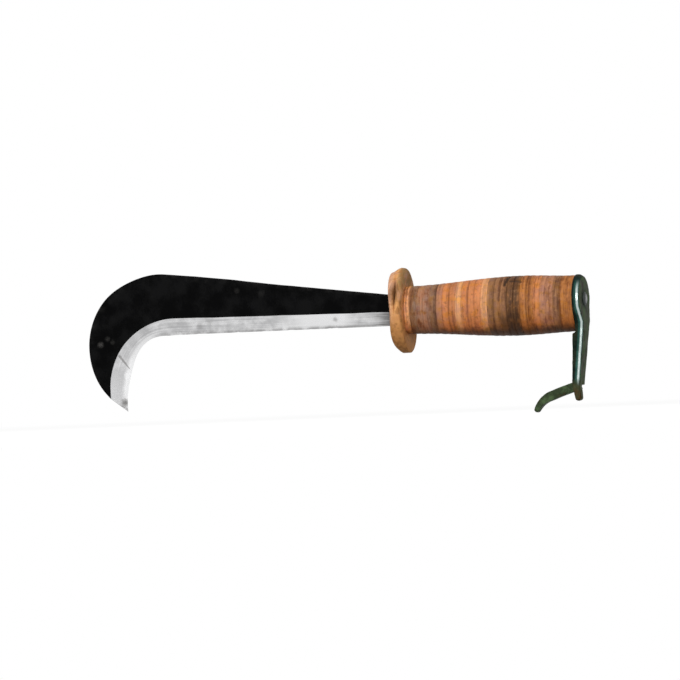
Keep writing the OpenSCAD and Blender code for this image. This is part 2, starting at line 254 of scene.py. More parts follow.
class Wire:
    """An output socket that takes part in Python sums; each sum adds a Math node."""

    def __init__(self, finish, socket):
        self.finish = finish
        self.socket = socket

    def math(self, operation, *values):
        return self.finish.node("ShaderNodeMath", {"operation": operation}, dict(enumerate(values)))

    def __add__(self, other):
        return self.math("ADD", self, other)

    def __radd__(self, other):
        return self.math("ADD", other, self)

    def __sub__(self, other):
        return self.math("SUBTRACT", self, other)

    def __rsub__(self, other):
        return self.math("SUBTRACT", other, self)

    def __mul__(self, other):
        return self.math("MULTIPLY", self, other)

    def __rmul__(self, other):
        return self.math("MULTIPLY", other, self)

    def __truediv__(self, other):
        return self.math("DIVIDE", self, other)

    def __rtruediv__(self, other):
        return self.math("DIVIDE", other, self)

    def __pow__(self, other):
        return self.math("POWER", self, other)

    def __abs__(self):
        return self.math("ABSOLUTE", self)

    def most(self, other):
        return self.math("MAXIMUM", self, other)


class Finish:
    """A node tree of a material or the world, and the one method that adds nodes to it."""

    def __init__(self, holder):
        holder.use_nodes = True
        self.holder = holder
        self.tree = holder.node_tree
        self.tree.nodes.clear()

    def node(self, kind, settings=None, inputs=None, output=0):
        made = self.tree.nodes.new(kind)
        for name, value in (settings or {}).items():
            setattr(made, name, value)
        for name, value in (inputs or {}).items():
            if isinstance(value, Wire):
                self.tree.links.new(value.socket, made.inputs[name])
            else:
                made.inputs[name].default_value = value
        return Wire(self, made.outputs[output]) if made.outputs else None

    def place(self):
        """Place on the piece, in metres."""
        return self.node("ShaderNodeTexCoord", output="Object")

    def axes(self, vector, letters="XYZ"):
        """Wires of the named axes of a vector."""
        kind = "ShaderNodeSeparateXYZ"
        return [self.node(kind, inputs={"Vector": vector}, output=letter) for letter in letters]

    def stored(self, name, output="Fac"):
        """A value or colour that the mesh holds at its points."""
        return self.node("ShaderNodeAttribute", {"attribute_name": name}, output=output)

    def stretch(self, vector, *scale):
        return self.node("ShaderNodeVectorMath", {"operation": "MULTIPLY"}, {0: vector, 1: scale})

    def grain(self, vector, scale=1, detail=3.0, rough=0.55):
        """Smooth noise between 0 and 1."""
        settings = {"Vector": vector, "Scale": scale, "Detail": detail, "Roughness": rough}
        return self.node("ShaderNodeTexNoise", inputs=settings)

    def step(self, value, low, high):
        """Soft step from 0 at low to 1 at high."""
        ends = {"Value": value, "From Min": low, "From Max": high}
        return self.node("ShaderNodeMapRange", {"interpolation_type": "SMOOTHSTEP"}, ends)

    def zone(self, value, first, last):
        """1 between two soft steps, each given by where it is 0 and where it is 1."""
        return self.step(value, *first) * self.step(value, *last)

    def blend(self, amount, first, second, way="MIX"):
        """Mix of two colours."""
        sockets = {"Factor": amount, 6: opaque(first), 7: opaque(second)}
        return self.node("ShaderNodeMix", {"data_type": "RGBA", "blend_type": way}, sockets, 2)

    def tint(self, amount, first, rgb):
        """A colour multiplied by another one, as far as amount says."""
        return self.blend(amount, first, rgb, "MULTIPLY")

    def bump(self, height, strength, depth):
        return self.node("ShaderNodeBump", inputs={"Height": height, "Strength": strength, "Distance": depth})

    def surface(self, **sockets):
        """Finishes the material with one Principled shader; underscores in names stand for spaces."""
        inputs = {name.replace("_", " "): opaque(value) for name, value in sockets.items()}
        shader = self.node("ShaderNodeBsdfPrincipled", inputs=inputs)
        self.node("ShaderNodeOutputMaterial", inputs={"Surface": shader})
        return self.holder


def opaque(value):
    """A plain colour with its alpha; anything else as it is."""
    if isinstance(value, (Wire, int, float)):
        return value
    return (*value, 1.0)


def finish_for(name):
    """A new material with an empty node tree."""
    return Finish(bpy.data.materials.new(name))


def apart(first, second):
    """Length of a line from its reach on two axes."""
    return (first ** 2 + second ** 2) ** 0.5


# Specular levels of scaled or enamelled steel and of leather
STEEL_GLOSS, LEATHER_GLOSS = 0.03, 0.2
# Pale scuffs on the black scale and dark spots on the bevel, all on the near side:
# X, Z and radius in mm, and strength
SCUFFS = (
    (-283.9, -15.1, 2.9, 0.6), (-278.7, -11.3, 2.6, 0.27), (-275.2, -13.8, 2.4, 0.2),
    (-183.5, 18.7, 2.8, 0.16), (-166.0, 16.0, 3.4, 0.12),
)
STAINS = (
    (-113.4, -4.2, 2.5, 0.45), (-212.0, -5.1, 3.4, 0.32), (-204.7, -1.9, 3.8, 0.28),
    (-268.2, -56.2, 4.6, 0.85), (-269.9, -58.9, 4.2, 0.5), (-266.5, -61.4, 3.0, 0.6),
)
# Share of a spot's radius at which it starts to fade
SPOT_CORE = 0.1
# Ends of the scratch as X and Z, and half its width at each
SCRATCH_FROM = Vector((-271.4, -22.4)) * MM
SCRATCH_TO = Vector((-263.2, -33.8)) * MM
SCRATCH_HALVES = 1.5 * MM, 0.4 * MM
# Places on X where the throat starts, and where a painted highlight lies on the straight bevel as bright honed
# steel
THROAT_X = -236 * MM, -250 * MM
GLINT_X = (-160 * MM, -132 * MM), (-96 * MM, -110 * MM)
# Heights above the tip over which the honed strip fades and under which the beak is dull
HONED_RISE = -2 * MM, 20 * MM
BEAK_RISE = 36 * MM, 24 * MM
# Length of the bevel beside the guard that is darkened by scale left there and by the guard's painted shadow
GUARD_SHADE_REACH = 30 * MM


def forge_black(looks):
    """Black forge scale with thin places, fine pits, faintly worn arrises and a few scuffs."""
    f = finish_for("forge_black")
    place = f.place()
    clouds = f.grain(place, 70, 4)
    pits = f.grain(place, 900, 4, 0.65)
    thin = f.step(clouds * 0.7 + pits * 0.3, 0.42, 0.62)
    scale = f.blend(thin, looks.scale_black, looks.scale_grey)
    scuffs = spots(f, place, SCUFFS) * f.step(pits, 0.25, 0.55)
    rubbed = f.stored("arris") * f.step(f.grain(place, 160), 0.42, 0.75)
    return f.surface(
        Base_Color=f.blend(scuffs.most(rubbed * 0.10), scale, looks.stain),
        Roughness=0.50 + 0.22 * clouds - 0.12 * rubbed,
        Specular_IOR_Level=STEEL_GLOSS,
        Normal=f.bump(pits * 0.7 + clouds * 0.8, 0.35, 0.25 * MM),
    )


def ground_bevel(looks):
    """Bright steel, ground and stoned along the edge, with streaks, a scratch, a few stains, a painted highlight
    on the straight bevel, and painted shade beside the guard and along the edge.
    """
    f = finish_for("ground_bevel")
    place = f.place()
    x, y, z = f.axes(place)
    along, across = f.stored("along"), f.stored("across")
    lines = f.node("ShaderNodeCombineXYZ", inputs={"X": along, "Y": across, "Z": y})
    coarse = f.grain(f.stretch(lines, 18, 9, 40), rough=0.6)
    fine = f.grain(f.stretch(lines, 60, 52, 40), detail=2, rough=0.6)
    clouds = f.grain(place, 130, 4, 0.6)
    dull = f.step(0.40 * coarse + 0.15 * fine + 0.45 * clouds, 0.36, 0.62)
    steel = f.blend(dull, looks.ground, looks.ground_dark)
    above_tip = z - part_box("blade")[0].z
    beak = f.step(above_tip, *BEAK_RISE) * f.step(across, 0.95, 0.55)
    steel = f.blend(beak * 0.6, steel, looks.ground_dark)
    throat = f.step(x, *THROAT_X)
    honed = f.step(across + 0.4 * (clouds - 0.5), 0.62, 0.86) * throat * f.step(above_tip, *HONED_RISE)
    # painted highlight on the straight bevel near the edge, drawn in the honed steel's colour
    stoned = f.zone(x, *GLINT_X) * f.step(across, 0.95, 0.7)
    steel = f.blend((honed * 0.8).most(stoned * 0.9), steel, looks.honed)
    # painted shade along the lower edge of the straight bevel
    edge_shade = f.step(across, 0.76, 0.94) * f.step(clouds, 0.30, 0.54) * (1 - throat)
    # scale left beside the guard, with the guard's painted shadow on the bevel
    guard_shade_and_scale = f.step(1.2 * (0.5 * coarse + 0.5 * fine - 0.5) - along / GUARD_SHADE_REACH, -0.68, -0.06)
    # real stains, with the painted shadow at the guard and the painted shade along the edge
    stains = spots(f, place, STAINS).most(guard_shade_and_scale * 0.9).most(edge_shade * 0.35)
    marks = stains.most(scratch(f, place) * 0.65)
    return f.surface(
        Base_Color=f.blend(marks, steel, looks.stain),
        Metallic=1 - 0.4 * marks,
        Roughness=0.22 + 0.10 * dull + 0.25 * marks,
        Normal=f.bump(0.6 * coarse + 0.4 * fine, 0.15, 0.06 * MM),
    )


def near_side(f, y):
    """1 on the blade's near side."""
    return 1 - f.step(y, -0.2 * MM, 0)


def spots(f, place, listed):
    """Mask of soft ragged spots on the blade's near side."""
    x, y, z = f.axes(place)
    ragged = 0.55 + 0.9 * f.grain(place, 420, rough=0.6)
    masks = []
    for at_x, at_z, radius, strength in listed:
        away = ragged * apart(x - at_x * MM, z - at_z * MM)
        masks.append(strength * (1 - f.step(away, SPOT_CORE * radius * MM, radius * MM)))
    return reduce(Wire.most, masks) * near_side(f, y)


def scratch(f, place):
    """Mask of the one deep scratch across the bevel on the near side of the throat."""
    run = SCRATCH_TO - SCRATCH_FROM
    at_x, y, at_z = f.axes(place)
    x, z = at_x - SCRATCH_FROM.x, at_z - SCRATCH_FROM.y
    share = (x * run.x + z * run.y) / run.length_squared
    aside = abs(x * run.y - z * run.x) / run.length
    wide, narrow = SCRATCH_HALVES
    on_line = 1 - f.step(aside / (wide - (wide - narrow) * share), 0.35, 1.0)
    return on_line * f.zone(share, (0, 0.08), (1.0, 0.85)) * near_side(f, y)


def off_swivel(f, place):
    """Distance of a place from the axis on which the hook turns."""
    y, z = f.axes(place, "YZ")
    return apart(y - SWIVEL.y, z - SWIVEL.z)


def peened_steel(looks):
    """Hammered grey end of the tang with dark oxide in its hollows."""
    f = finish_for("peened_steel")
    place = f.place()
    dents = f.grain(place, 420, 2)
    skirt = f.step(off_swivel(f, place) + 2 * MM * (dents - 0.5), 2.0 * MM, 3.8 * MM)
    oxide = f.step(f.grain(place, 260, 4), 0.42, 0.66).most(skirt)
    return f.surface(
        Base_Color=f.blend(oxide * 0.8, looks.peened, looks.enamel),
        Metallic=0.85 - 0.5 * oxide,
        Roughness=0.38 + 0.25 * oxide,
        Normal=f.bump(dents, 0.6, 0.5 * MM),
    )


# Height of the slit, where the tongue leaves the arm, and heights between which finishes, the painted teal sheen
# and the painted highlight fade
SLIT_Z = -57 * MM
ABOVE_SLIT_Z = SLIT_Z - 1 * MM, SLIT_Z + 6 * MM
RUST_Z = SLIT_Z + 5 * MM, SLIT_Z - 5 * MM
RUST_X = 54 * MM, 58 * MM
SHEEN_Z = 19 * MM, 12 * MM
HIGHLIGHT_Z = 17 * MM, 9 * MM
# Distances from the swivel's axis between which the plate turns from darker round the head to its own colour
HEAD_DARK_RING = 5 * MM, 10 * MM


def hook_enamel(looks):
    """Mottled green-black enamel, rubbed through to steel along the chamfer, which also stands in for a painted
    highlight, with a painted teal sheen beside it, and rusty low on the hook.
    """
    f = finish_for("hook_enamel")
    place = f.place()
    x, height = f.axes(place, "XZ")
    across = f.stored("chamfer")
    clouds = f.grain(place, 170, 4, 0.6)
    pits = f.grain(place, 1100, rough=0.6)
    worn = f.step(0.7 * clouds + 0.3 * pits, 0.42, 0.62)
    above_slit = f.step(height, *ABOVE_SLIT_Z)
    below_slit = 1 - above_slit
    # painted reflection: teal sheen on the side next to the chamfer, fading out toward the plate's top
    teal = f.step(across, -1.75, -1.05) * above_slit * f.step(height, *SHEEN_Z)
    # bare steel along the chamfer, partly real wear and partly a painted highlight that fades out toward the
    # plate's top
    rubbed = above_slit * f.step(height, *HIGHLIGHT_Z) * f.step(clouds, 0.20, 0.36)
    bare = (1 - f.step(abs(across + 0.05), 0.25, 0.85)) * rubbed
    side = f.blend(worn * 0.3, looks.enamel, looks.enamel_brown)
    side = f.blend(teal * (0.5 + 0.5 * worn), side, looks.enamel_teal)
    dark = f.step(f.grain(place, 120, 4, 0.6), 0.48, 0.66)
    face = f.blend(dark * 0.65, f.blend(worn, looks.enamel_brown, looks.enamel_worn), looks.enamel)
    face = f.blend(below_slit * 0.45, face, looks.enamel_worn)
    # the plate is darker round the head
    round_head = 1 - f.step(off_swivel(f, place) + 5 * MM * (clouds - 0.5), *HEAD_DARK_RING)
    face = f.blend(round_head * 0.75, face, looks.enamel)
    outer = f.step(across, 0.6, 1.4).most(below_slit * (0.6 + 0.4 * worn))
    enamel = f.blend(outer, side, face)
    low = f.step(height, *RUST_Z) * f.step(x, *RUST_X)
    patches = f.step(f.grain(place, 120, 4, 0.65), 0.56, 0.70)
    rust = (patches * 0.5).most(low * f.step(clouds, 0.34, 0.60))
    rusted = f.blend(rust * 0.85, enamel, looks.rust)
    return f.surface(
        Base_Color=f.blend(bare, rusted, looks.hook_bare),
        Metallic=bare * 0.95,
        Roughness=0.44 + 0.16 * worn + 0.25 * rust - 0.20 * bare,
        Specular_IOR_Level=STEEL_GLOSS,
        Normal=f.bump(clouds * 0.8 + pits * 0.4, 0.3, 0.3 * MM),
    )


# Heights and places on X between which the guard's tones fade: painted light above, the pale lip, and an olive
# painted shade on the upper rear
LIT_UPPER_Z = -14 * MM, 6 * MM
LIP_X = GUARD_X + 4.2 * MM, GUARD_X + 0.5 * MM
OLIVE_SHADE_Z = 9 * MM, 20 * MM
OLIVE_SHADE_X = GUARD_SEAM_X + 0.5 * MM, GUARD_SEAM_X + 3.5 * MM


def guard_leather(looks):
    """Ochre leather with a short nap, a pale front lip, painted light above, an olive painted shade on the upper
    rear, and dirt with painted shade where the discs part.
    """
    f = finish_for("guard_leather")
    place = f.place()
    x, z = f.axes(place, "XZ")
    nap = f.grain(place, 900, 4, 0.6)
    clouds = f.grain(place, 110, 4, 0.6)
    layers = f.grain(f.stretch(place, 1500, 70, 70), detail=2)
    height = z + 16 * MM * (clouds - 0.5)
    # painted light: the upper guard lighter, the lower a painted-shade copy
    upper = f.step(height, *LIT_UPPER_Z)
    lip = f.step(x, *LIP_X) * upper
    # painted shade: olive on the upper rear face of the guard
    olive = f.step(height, *OLIVE_SHADE_Z) * f.step(x, *OLIVE_SHADE_X)
    tone = f.blend(lip * 0.75, f.blend(upper, looks.guard_low, looks.guard), looks.guard_lip)
    tone = f.blend(olive * 0.95, tone, looks.guard_olive)
    fibre = f.step(0.6 * nap + 0.4 * layers, 0.35, 0.65)
    shaded = f.blend(fibre * 0.14, tone, looks.leather_amber)
    mottle = f.grain(place, 230)
    flush = f.grain(place, 150)
    shaded = f.blend(f.step(mottle, 0.49, 0.64) * 0.7, shaded, looks.leather_amber)
    shaded = f.blend(f.step(mottle, 0.46, 0.36) * 0.4, shaded, looks.leather_orange)
    shaded = f.blend(f.step(flush, 0.50, 0.64) * 0.45 * upper, shaded, looks.guard_lip)
    stains = f.step(f.grain(place, 85, 5, 0.65), 0.50, 0.72)
    # dirt and painted shade in the groove where the discs part, with stains
    dirt = (f.stored("seam") * 0.9).most(stains * 0.26)
    return f.surface(
        Base_Color=f.blend(dirt, shaded, looks.grime),
        Roughness=0.60 + 0.16 * fibre,
        Specular_IOR_Level=LEATHER_GLOSS,
        Normal=f.bump(nap * 0.6 + layers * 0.5 + clouds * 0.4, 0.45, 0.3 * MM),
    )


# Stretches of the grip on X: orange washers with calm bands, dark aged ones, dusty ones, an oily patch
CALM_X = (-40 * MM, -34 * MM), (3 * MM, -3 * MM)
AGED_X = (4 * MM, 8 * MM), (26 * MM, 22 * MM)
DUSTY_X = (-34 * MM, -44 * MM), (-58 * MM, -54 * MM)
OILY_X = (7 * MM, 11 * MM), (26 * MM, 20 * MM)
# Heights between which the oily patch, the painted shade of the lower half and the painted shade of the underside
# fade in
OILY_Z, LOWER_SHADE_Z, UNDER_SHADE_Z = (-1 * MM, -10 * MM), (-5 * MM, -14 * MM), (-12 * MM, -18 * MM)
# What the tone of the leather is multiplied by; the last is painted shade on the lower half
DEEP_TINT, PALE_TINT, CALM_TINT = (0.50, 0.38, 0.30), (1.22, 1.14, 1.04), (0.915, 0.875, 0.86)
PLUM_TINT, OCHRE_TINT, LOWER_SHADE_TINT = (0.80, 0.80, 1.05), (1.04, 0.99, 0.55), (0.92, 0.74, 0.58)


def stacked_leather(looks):
    """Sanded and handled edges of the grip washers, with painted shade on the lower half and more on the
    underside; each washer's mesh holds its own tone.
    """
    f = finish_for("stacked_leather")
    place = f.place()
    x, z = f.axes(place, "XZ")
    tone, seam = f.stored("tone", "Color"), f.stored("seam")
    bands = f.grain(f.stretch(place, 560, 22, 22), detail=2, rough=0.6)
    fibres = f.grain(f.stretch(place, 2600, 150, 150), rough=0.6)
    blots = f.grain(f.stretch(place, 260, 150, 150), detail=4, rough=0.65)
    pores = f.grain(place, 2200, 2)
    calm = f.zone(x, *CALM_X)
    deep = f.blend(calm * 0.55, f.tint(1.0, tone, DEEP_TINT), tone)
    pale = f.tint(1.0, tone, PALE_TINT)
    mixed = f.blend(f.step(0.6 * bands + 0.4 * blots, 0.36, 0.55), deep, pale)
    mixed = f.tint(calm, mixed, CALM_TINT)
    plum = f.step(f.grain(f.stretch(place, 190, 170, 170)), 0.50, 0.64)
    ochre = f.step(f.grain(f.stretch(place, 150, 230, 230)), 0.50, 0.66)
    tinted = f.tint(ochre * 0.9, f.tint(plum * 0.8, mixed, PLUM_TINT), OCHRE_TINT)
    specks = f.grain(place, 380, rough=0.6)
    speckled = f.blend(f.step(specks, 0.54, 0.74) * 0.20, tinted, looks.leather_tan)
    speckled = f.blend(f.step(specks, 0.46, 0.28) * 0.35, speckled, looks.grime)
    lined = f.blend(f.step(fibres, 0.50, 0.74) * 0.25, speckled, deep)
    lined = f.blend(f.zone(x, *AGED_X) * f.step(blots, 0.52, 0.66) * 0.5, lined, looks.leather_amber)
    lined = f.blend(f.zone(x, *DUSTY_X) * f.step(blots, 0.40, 0.62) * 0.34, lined, looks.dust)
    height = z + 5 * MM * (blots - 0.5)
    # painted shade: the lower half darker and more saturated
    lined = f.tint(f.step(height, *LOWER_SHADE_Z) * 0.8, lined, LOWER_SHADE_TINT)
    soiled = seam * f.step(blots, 0.30, 0.55)
    oily = f.zone(x, *OILY_X) * f.step(height, *OILY_Z)
    # painted shade on the underside of the grip
    under = f.step(height, *UNDER_SHADE_Z)
    blotched = f.step(f.grain(place, 60, 5, 0.65), 0.60, 0.80)
    # dirt in seams and cuts, painted shade underneath, an oily patch and blotches
    grime = (soiled * 0.7).most(f.stored("cut") * 0.92).most(under * 0.75)
    grime = grime.most(oily * 0.65).most(blotched * 0.4)
    return f.surface(
        Base_Color=f.blend(grime, lined, looks.grime),
        Roughness=0.50 + 0.16 * fibres + 0.18 * seam,
        Specular_IOR_Level=LEATHER_GLOSS,
        Normal=f.bump(fibres * 0.5 + bands * 0.5 + pores * 0.25, 0.4, 0.22 * MM),
    )


def ray(f, kind):
    """1 for rays of one kind."""
    return f.node("ShaderNodeLightPath", output=f"Is {kind} Ray")


def backdrop_rays(f):
    """1 for rays that show the white surroundings: straight from the camera, or by gloss or glass."""
    return ray(f, "Camera").most(ray(f, "Glossy")).most(ray(f, "Transmission"))


# Distance at which the floor is all white, in reaches of the shadow
WHITE_FLOOR = 4


def studio_floor(studio):
    """Pale floor: the camera sees it white with the shadow on it, and gloss shows it white."""
    f = finish_for("studio_floor")
    matte = f.node("ShaderNodeBsdfDiffuse", inputs={"Color": (*[studio.bounce] * 3, 1)})
    pale = f.node("ShaderNodeBsdfDiffuse", inputs={"Color": (*[studio.pale] * 3, 1)})
    lift = f.node("ShaderNodeEmission", inputs={"Strength": studio.lift})
    white = f.node("ShaderNodeEmission", inputs={"Strength": 1.0})
    near = f.node("ShaderNodeAddShader", inputs={0: pale, 1: lift})
    away = f.node("ShaderNodeVectorMath", {"operation": "LENGTH"}, {0: f.place()}, "Value")
    far = f.step(away, studio.shadow_reach, WHITE_FLOOR * studio.shadow_reach)
    seen = f.node("ShaderNodeMixShader", inputs={0: far.most(1 - ray(f, "Camera")), 1: near, 2: white})
    shown = f.node("ShaderNodeMixShader", inputs={0: backdrop_rays(f), 1: matte, 2: seen})
    f.node("ShaderNodeOutputMaterial", inputs={"Surface": shown})
    return f.holder


def mix(a, b, share):
    """Value between a, at share 0, and b, at share 1."""
    return a + (b - a) * share


def clamp(value):
    """A value held between 0 and 1."""
    return min(1.0, max(0.0, value))


def heading_vector(turn):
    """Step of length 1 in a direction."""
    return Vector((math.cos(turn), math.sin(turn)))


def on_circle(centre, radius, turn):
    """Point of a circle."""
    return centre + radius * heading_vector(turn)


def waves(point, size):
    """Smooth noise between -1 and 1 that repeats at about the given size."""
    return noise.noise(Vector(point) / size)


def skin(bm, rings, closed=False):
    """Joins closed rings of points one after the other; returns points and faces by [ring][column]."""
    made = [[bm.verts.new(point) for point in ring] for ring in rings]
    count = len(rings[0])
    follow = made[1:] + made[:1] if closed else made[1:]
    return made, [
        [bm.faces.new((low[k], low[(k + 1) % count], high[(k + 1) % count], high[k])) for k in range(count)]
        for low, high in zip(made, follow)
    ]


def box_rings(bm, rings):
    """Closed solid through rings of points, with flat ends."""
    verts, _ = skin(bm, rings)
    bm.faces.new(verts[0])
    bm.faces.new(verts[-1])


def oval_ring(x, centre_z, half_y, half_z, squareness, count=40):
    """Ring of points at x, between a circle at squareness 2 and a box with eased corners above it."""
    ring = []
    for k in range(count):
        turn = math.tau * k / count
        c, s = math.cos(turn), math.sin(turn)
        y = half_y * math.copysign(abs(c) ** (2 / squareness), c)
        z = half_z * math.copysign(abs(s) ** (2 / squareness), s)
        ring.append((x, y, centre_z + z))
    return ring


def round_ring(x, radius, count=40):
    """Ring of points at x round the axis on which the hook turns."""
    return oval_ring(x, SWIVEL.z, radius, radius, 2, count)


def marked_mesh(*names):
    """An empty bmesh, and layers that keep values for the materials at its points."""
    bm = bmesh.new()
    for name in names:
        bm.verts.layers.float.new(name)
    return bm, [bm.verts.layers.float[name] for name in names]


def store(layers, verts, marks):
    """Writes rows of values into the layers, one for each point."""
    for vert_row, mark_row in zip(verts, marks):
        for vert, mark in zip(vert_row, mark_row):
            for layer, value in zip(layers, mark):
                vert[layer] = value


def mesh_piece(node, bm, body, *materials):
    """Turns a bmesh into a smooth-shaded piece that rides a body and stands for the CAD node of its name."""
    bmesh.ops.recalc_face_normals(bm, faces=bm.faces)
    mesh = bpy.data.meshes.new(node)
    bm.to_mesh(mesh)
    bm.free()
    for material in materials:
        mesh.materials.append(material)
    mesh.shade_smooth()
    piece = bpy.data.objects.new(node, mesh)
    bpy.context.scene.collection.objects.link(piece)
    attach(piece, body)
    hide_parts(node)
    return piece


# Steps along the blade, and columns across one side of its section
STRAIGHT_STEPS, THROAT_STEPS, BEAK_STEPS, TIP_STEPS = 150, 56, 22, 10
ARRIS_STEPS, CHEEK_STEPS, BEVEL_STEPS = 4, 7, 6
BEVEL_COLUMN = 1 + ARRIS_STEPS + CHEEK_STEPS
EDGE_COLUMN = BEVEL_COLUMN + BEVEL_STEPS
# Shares of the throat up to which the back is drawn in, and where it lies foremost
DRAWN_IN_TO, FOREMOST = 0.44, 0.73
# Share of its drift by which the back lies outside its arc at the beak
DRIFT_OUT = 0.75
# Share of the straight part over which the spine is raised
CREST_SHARE = 0.45
# Shares of the throat over which the edge grows hollow, and where it is back on its arc
HOLLOW_FROM, HOLLOW_TO = 0.1, 0.58
# Most that an arris takes of half the blade's thickness, and of its depth
ARRIS_OF_HALF, ARRIS_OF_DEPTH = 0.3, 0.4
# Ranges of the nicks: share of the edge's length, depth and width in mm
NICK_SEED = 7
NICK_PLACES, NICK_DEPTHS, NICK_WIDTHS = (0.15, 0.95), (0.12, 0.34), (0.8, 1.8)
# Sizes of the hammer's waves on the spine, along the bevel line and on the cheeks
SPINE_WAVES, BEVEL_WAVES, CHEEK_WAVES, CHEEK_RIPPLES = 9 * MM, 16 * MM, 13 * MM, 5 * MM
# Height of the waves on the bevel line and the cheeks, in those of the spine
BEVEL_FORGING, CHEEK_FORGING = 2.0, 0.7
# Distance at which points of the blade become one
WELD = 0.004 * MM
# Places of the blade's materials: scale, bevel and peened head
SCALE_SLOT, BEVEL_SLOT, HEAD_SLOT = 0, 1, 2


def back_radius(blade, share):
    """Radius of the back at a share of the throat: drawn in above, and out from its foremost point on."""
    drawn_in = math.sin(math.pi * min(1.0, share / DRAWN_IN_TO)) ** 2
    out = max(0.0, share - FOREMOST) / (1 - FOREMOST)
    return blade.back_radius + blade.back_drift * (DRIFT_OUT * out * out * (3 - 2 * out) - drawn_in)


def hollow(blade, share):
    """How far the edge lies outside its arc at a share of the throat: hollow above, full toward the beak."""
    return blade.throat_hollow * min(1.0, share / HOLLOW_FROM) * math.sin(math.tau * (HOLLOW_TO - share))


def blade_stations(blade):
    """Spine, bevel line, cutting edge and half thickness, as X and Z, from the guard to the tip."""
    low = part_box("blade")[0]
    edge_x = low.x + blade.beak_width
    bevel_x = edge_x - blade.bevel
    back_x = low.x + blade.back_radius
    spine_x = back_x + blade.back_radius * math.sin(blade.spine_angle)
    spine_z = blade.spine_root + (GUARD_X - spine_x) * math.tan(blade.spine_angle)
    back = Vector((back_x, spine_z - blade.back_radius * math.cos(blade.spine_angle)))
    throat = Vector((edge_x + blade.throat_radius, -blade.edge_drop - blade.throat_radius))
    bevel_radius = blade.throat_radius + blade.bevel
    turn_from = math.pi / 2 - blade.spine_angle
    turn_mid = math.pi + math.asin((back.y - throat.y) / blade.back_radius)
    turn_to = math.tau - math.acos((bevel_x - back.x) / blade.back_radius)
    beak_end_z = on_circle(back, blade.back_radius, turn_to).y
    tip = Vector((edge_x, low.z))
    half = blade.thickness / 2
    root = (
        Vector((GUARD_X, blade.spine_root)),
        Vector((GUARD_X, blade.bevel_root - blade.edge_drop)),
        Vector((GUARD_X, -blade.edge_drop)),
    )

    def in_throat(share):
        quarter = math.pi / 2 * (1 + share)
        return (
            on_circle(back, back_radius(blade, share), mix(turn_from, turn_mid, share)),
            on_circle(throat, bevel_radius, quarter),
            on_circle(throat, blade.throat_radius + hollow(blade, share), quarter),
        )

    def in_beak(share):
        level = mix(throat.y, beak_end_z, share)
        spine = on_circle(back, back_radius(blade, 1), mix(turn_mid, turn_to, share))
        full = hollow(blade, 1) * (1 - share)
        return spine, Vector((bevel_x, level)), Vector((edge_x - full, level))

    start, end = in_throat(0), in_beak(1)
    straight = [[mix(a, b, i / STRAIGHT_STEPS) for a, b in zip(root, start)] for i in range(STRAIGHT_STEPS)]
    for i, points in enumerate(straight):
        raised = max(0.0, 1 - (1 - i / STRAIGHT_STEPS) / CREST_SHARE)
        points[0].y += blade.crest * math.sin(math.pi * raised)
    curved = [in_throat(i / THROAT_STEPS) for i in range(THROAT_STEPS)]
    beak = [in_beak(i / BEAK_STEPS) for i in range(BEAK_STEPS + 1)]
    stations = [(*points, half) for points in (*straight, *curved, *beak)]
    for i in range(1, TIP_STEPS + 1):
        share = i / TIP_STEPS
        stations.append((*[mix(point, tip, share) for point in end], mix(half, blade.land / 2, share)))
    return stations


def half_section(blade, spine, bevel, edge, half):
    """Points of one side of the blade's section as (X and Z, Y): spine, arris, cheek, bevel, edge."""
    depth = (bevel - spine).length
    inward = (edge - spine).normalized() if depth < MM else (bevel - spine).normalized()
    radius = min(blade.arris, ARRIS_OF_HALF * half, ARRIS_OF_DEPTH * (edge - spine).length)
    radius = max(radius, min(blade.arris, ARRIS_OF_DEPTH * depth)) if half > MM else radius
    shoulder = spine + inward * min(radius, depth)
    points = [(spine, 0.0)]
    for i in range(ARRIS_STEPS + 1):
        turn = math.pi / 2 * i / ARRIS_STEPS
        points.append((mix(spine, shoulder, 1 - math.cos(turn)), half - radius * (1 - math.sin(turn))))
    points += [(mix(shoulder, bevel, i / CHEEK_STEPS), half) for i in range(1, CHEEK_STEPS + 1)]
    for i in range(1, BEVEL_STEPS + 1):
        share = i / BEVEL_STEPS
        points.append((mix(bevel, edge, share), mix(half, blade.land / 2, share)))
    points.append((edge, 0.0))
    return points


def edge_nicks(blade, reach):
    """Small nicks in the cutting edge as (place along it, depth, width)."""
    dice = random.Random(NICK_SEED)
    nicks = []
    for _ in range(blade.nicks):
        place = dice.uniform(*NICK_PLACES) * reach
        nicks.append((place, dice.uniform(*NICK_DEPTHS) * MM, dice.uniform(*NICK_WIDTHS) * MM))
    return nicks


def cheek_dent(point, sign):
    """Depth of the hammer's marks at a place on one cheek, in heights of its waves."""
    broad = waves((point.x, sign * 2, point.y), CHEEK_WAVES)
    return abs(broad + 0.5 * waves((point.x, sign * 5, point.y), CHEEK_RIPPLES))


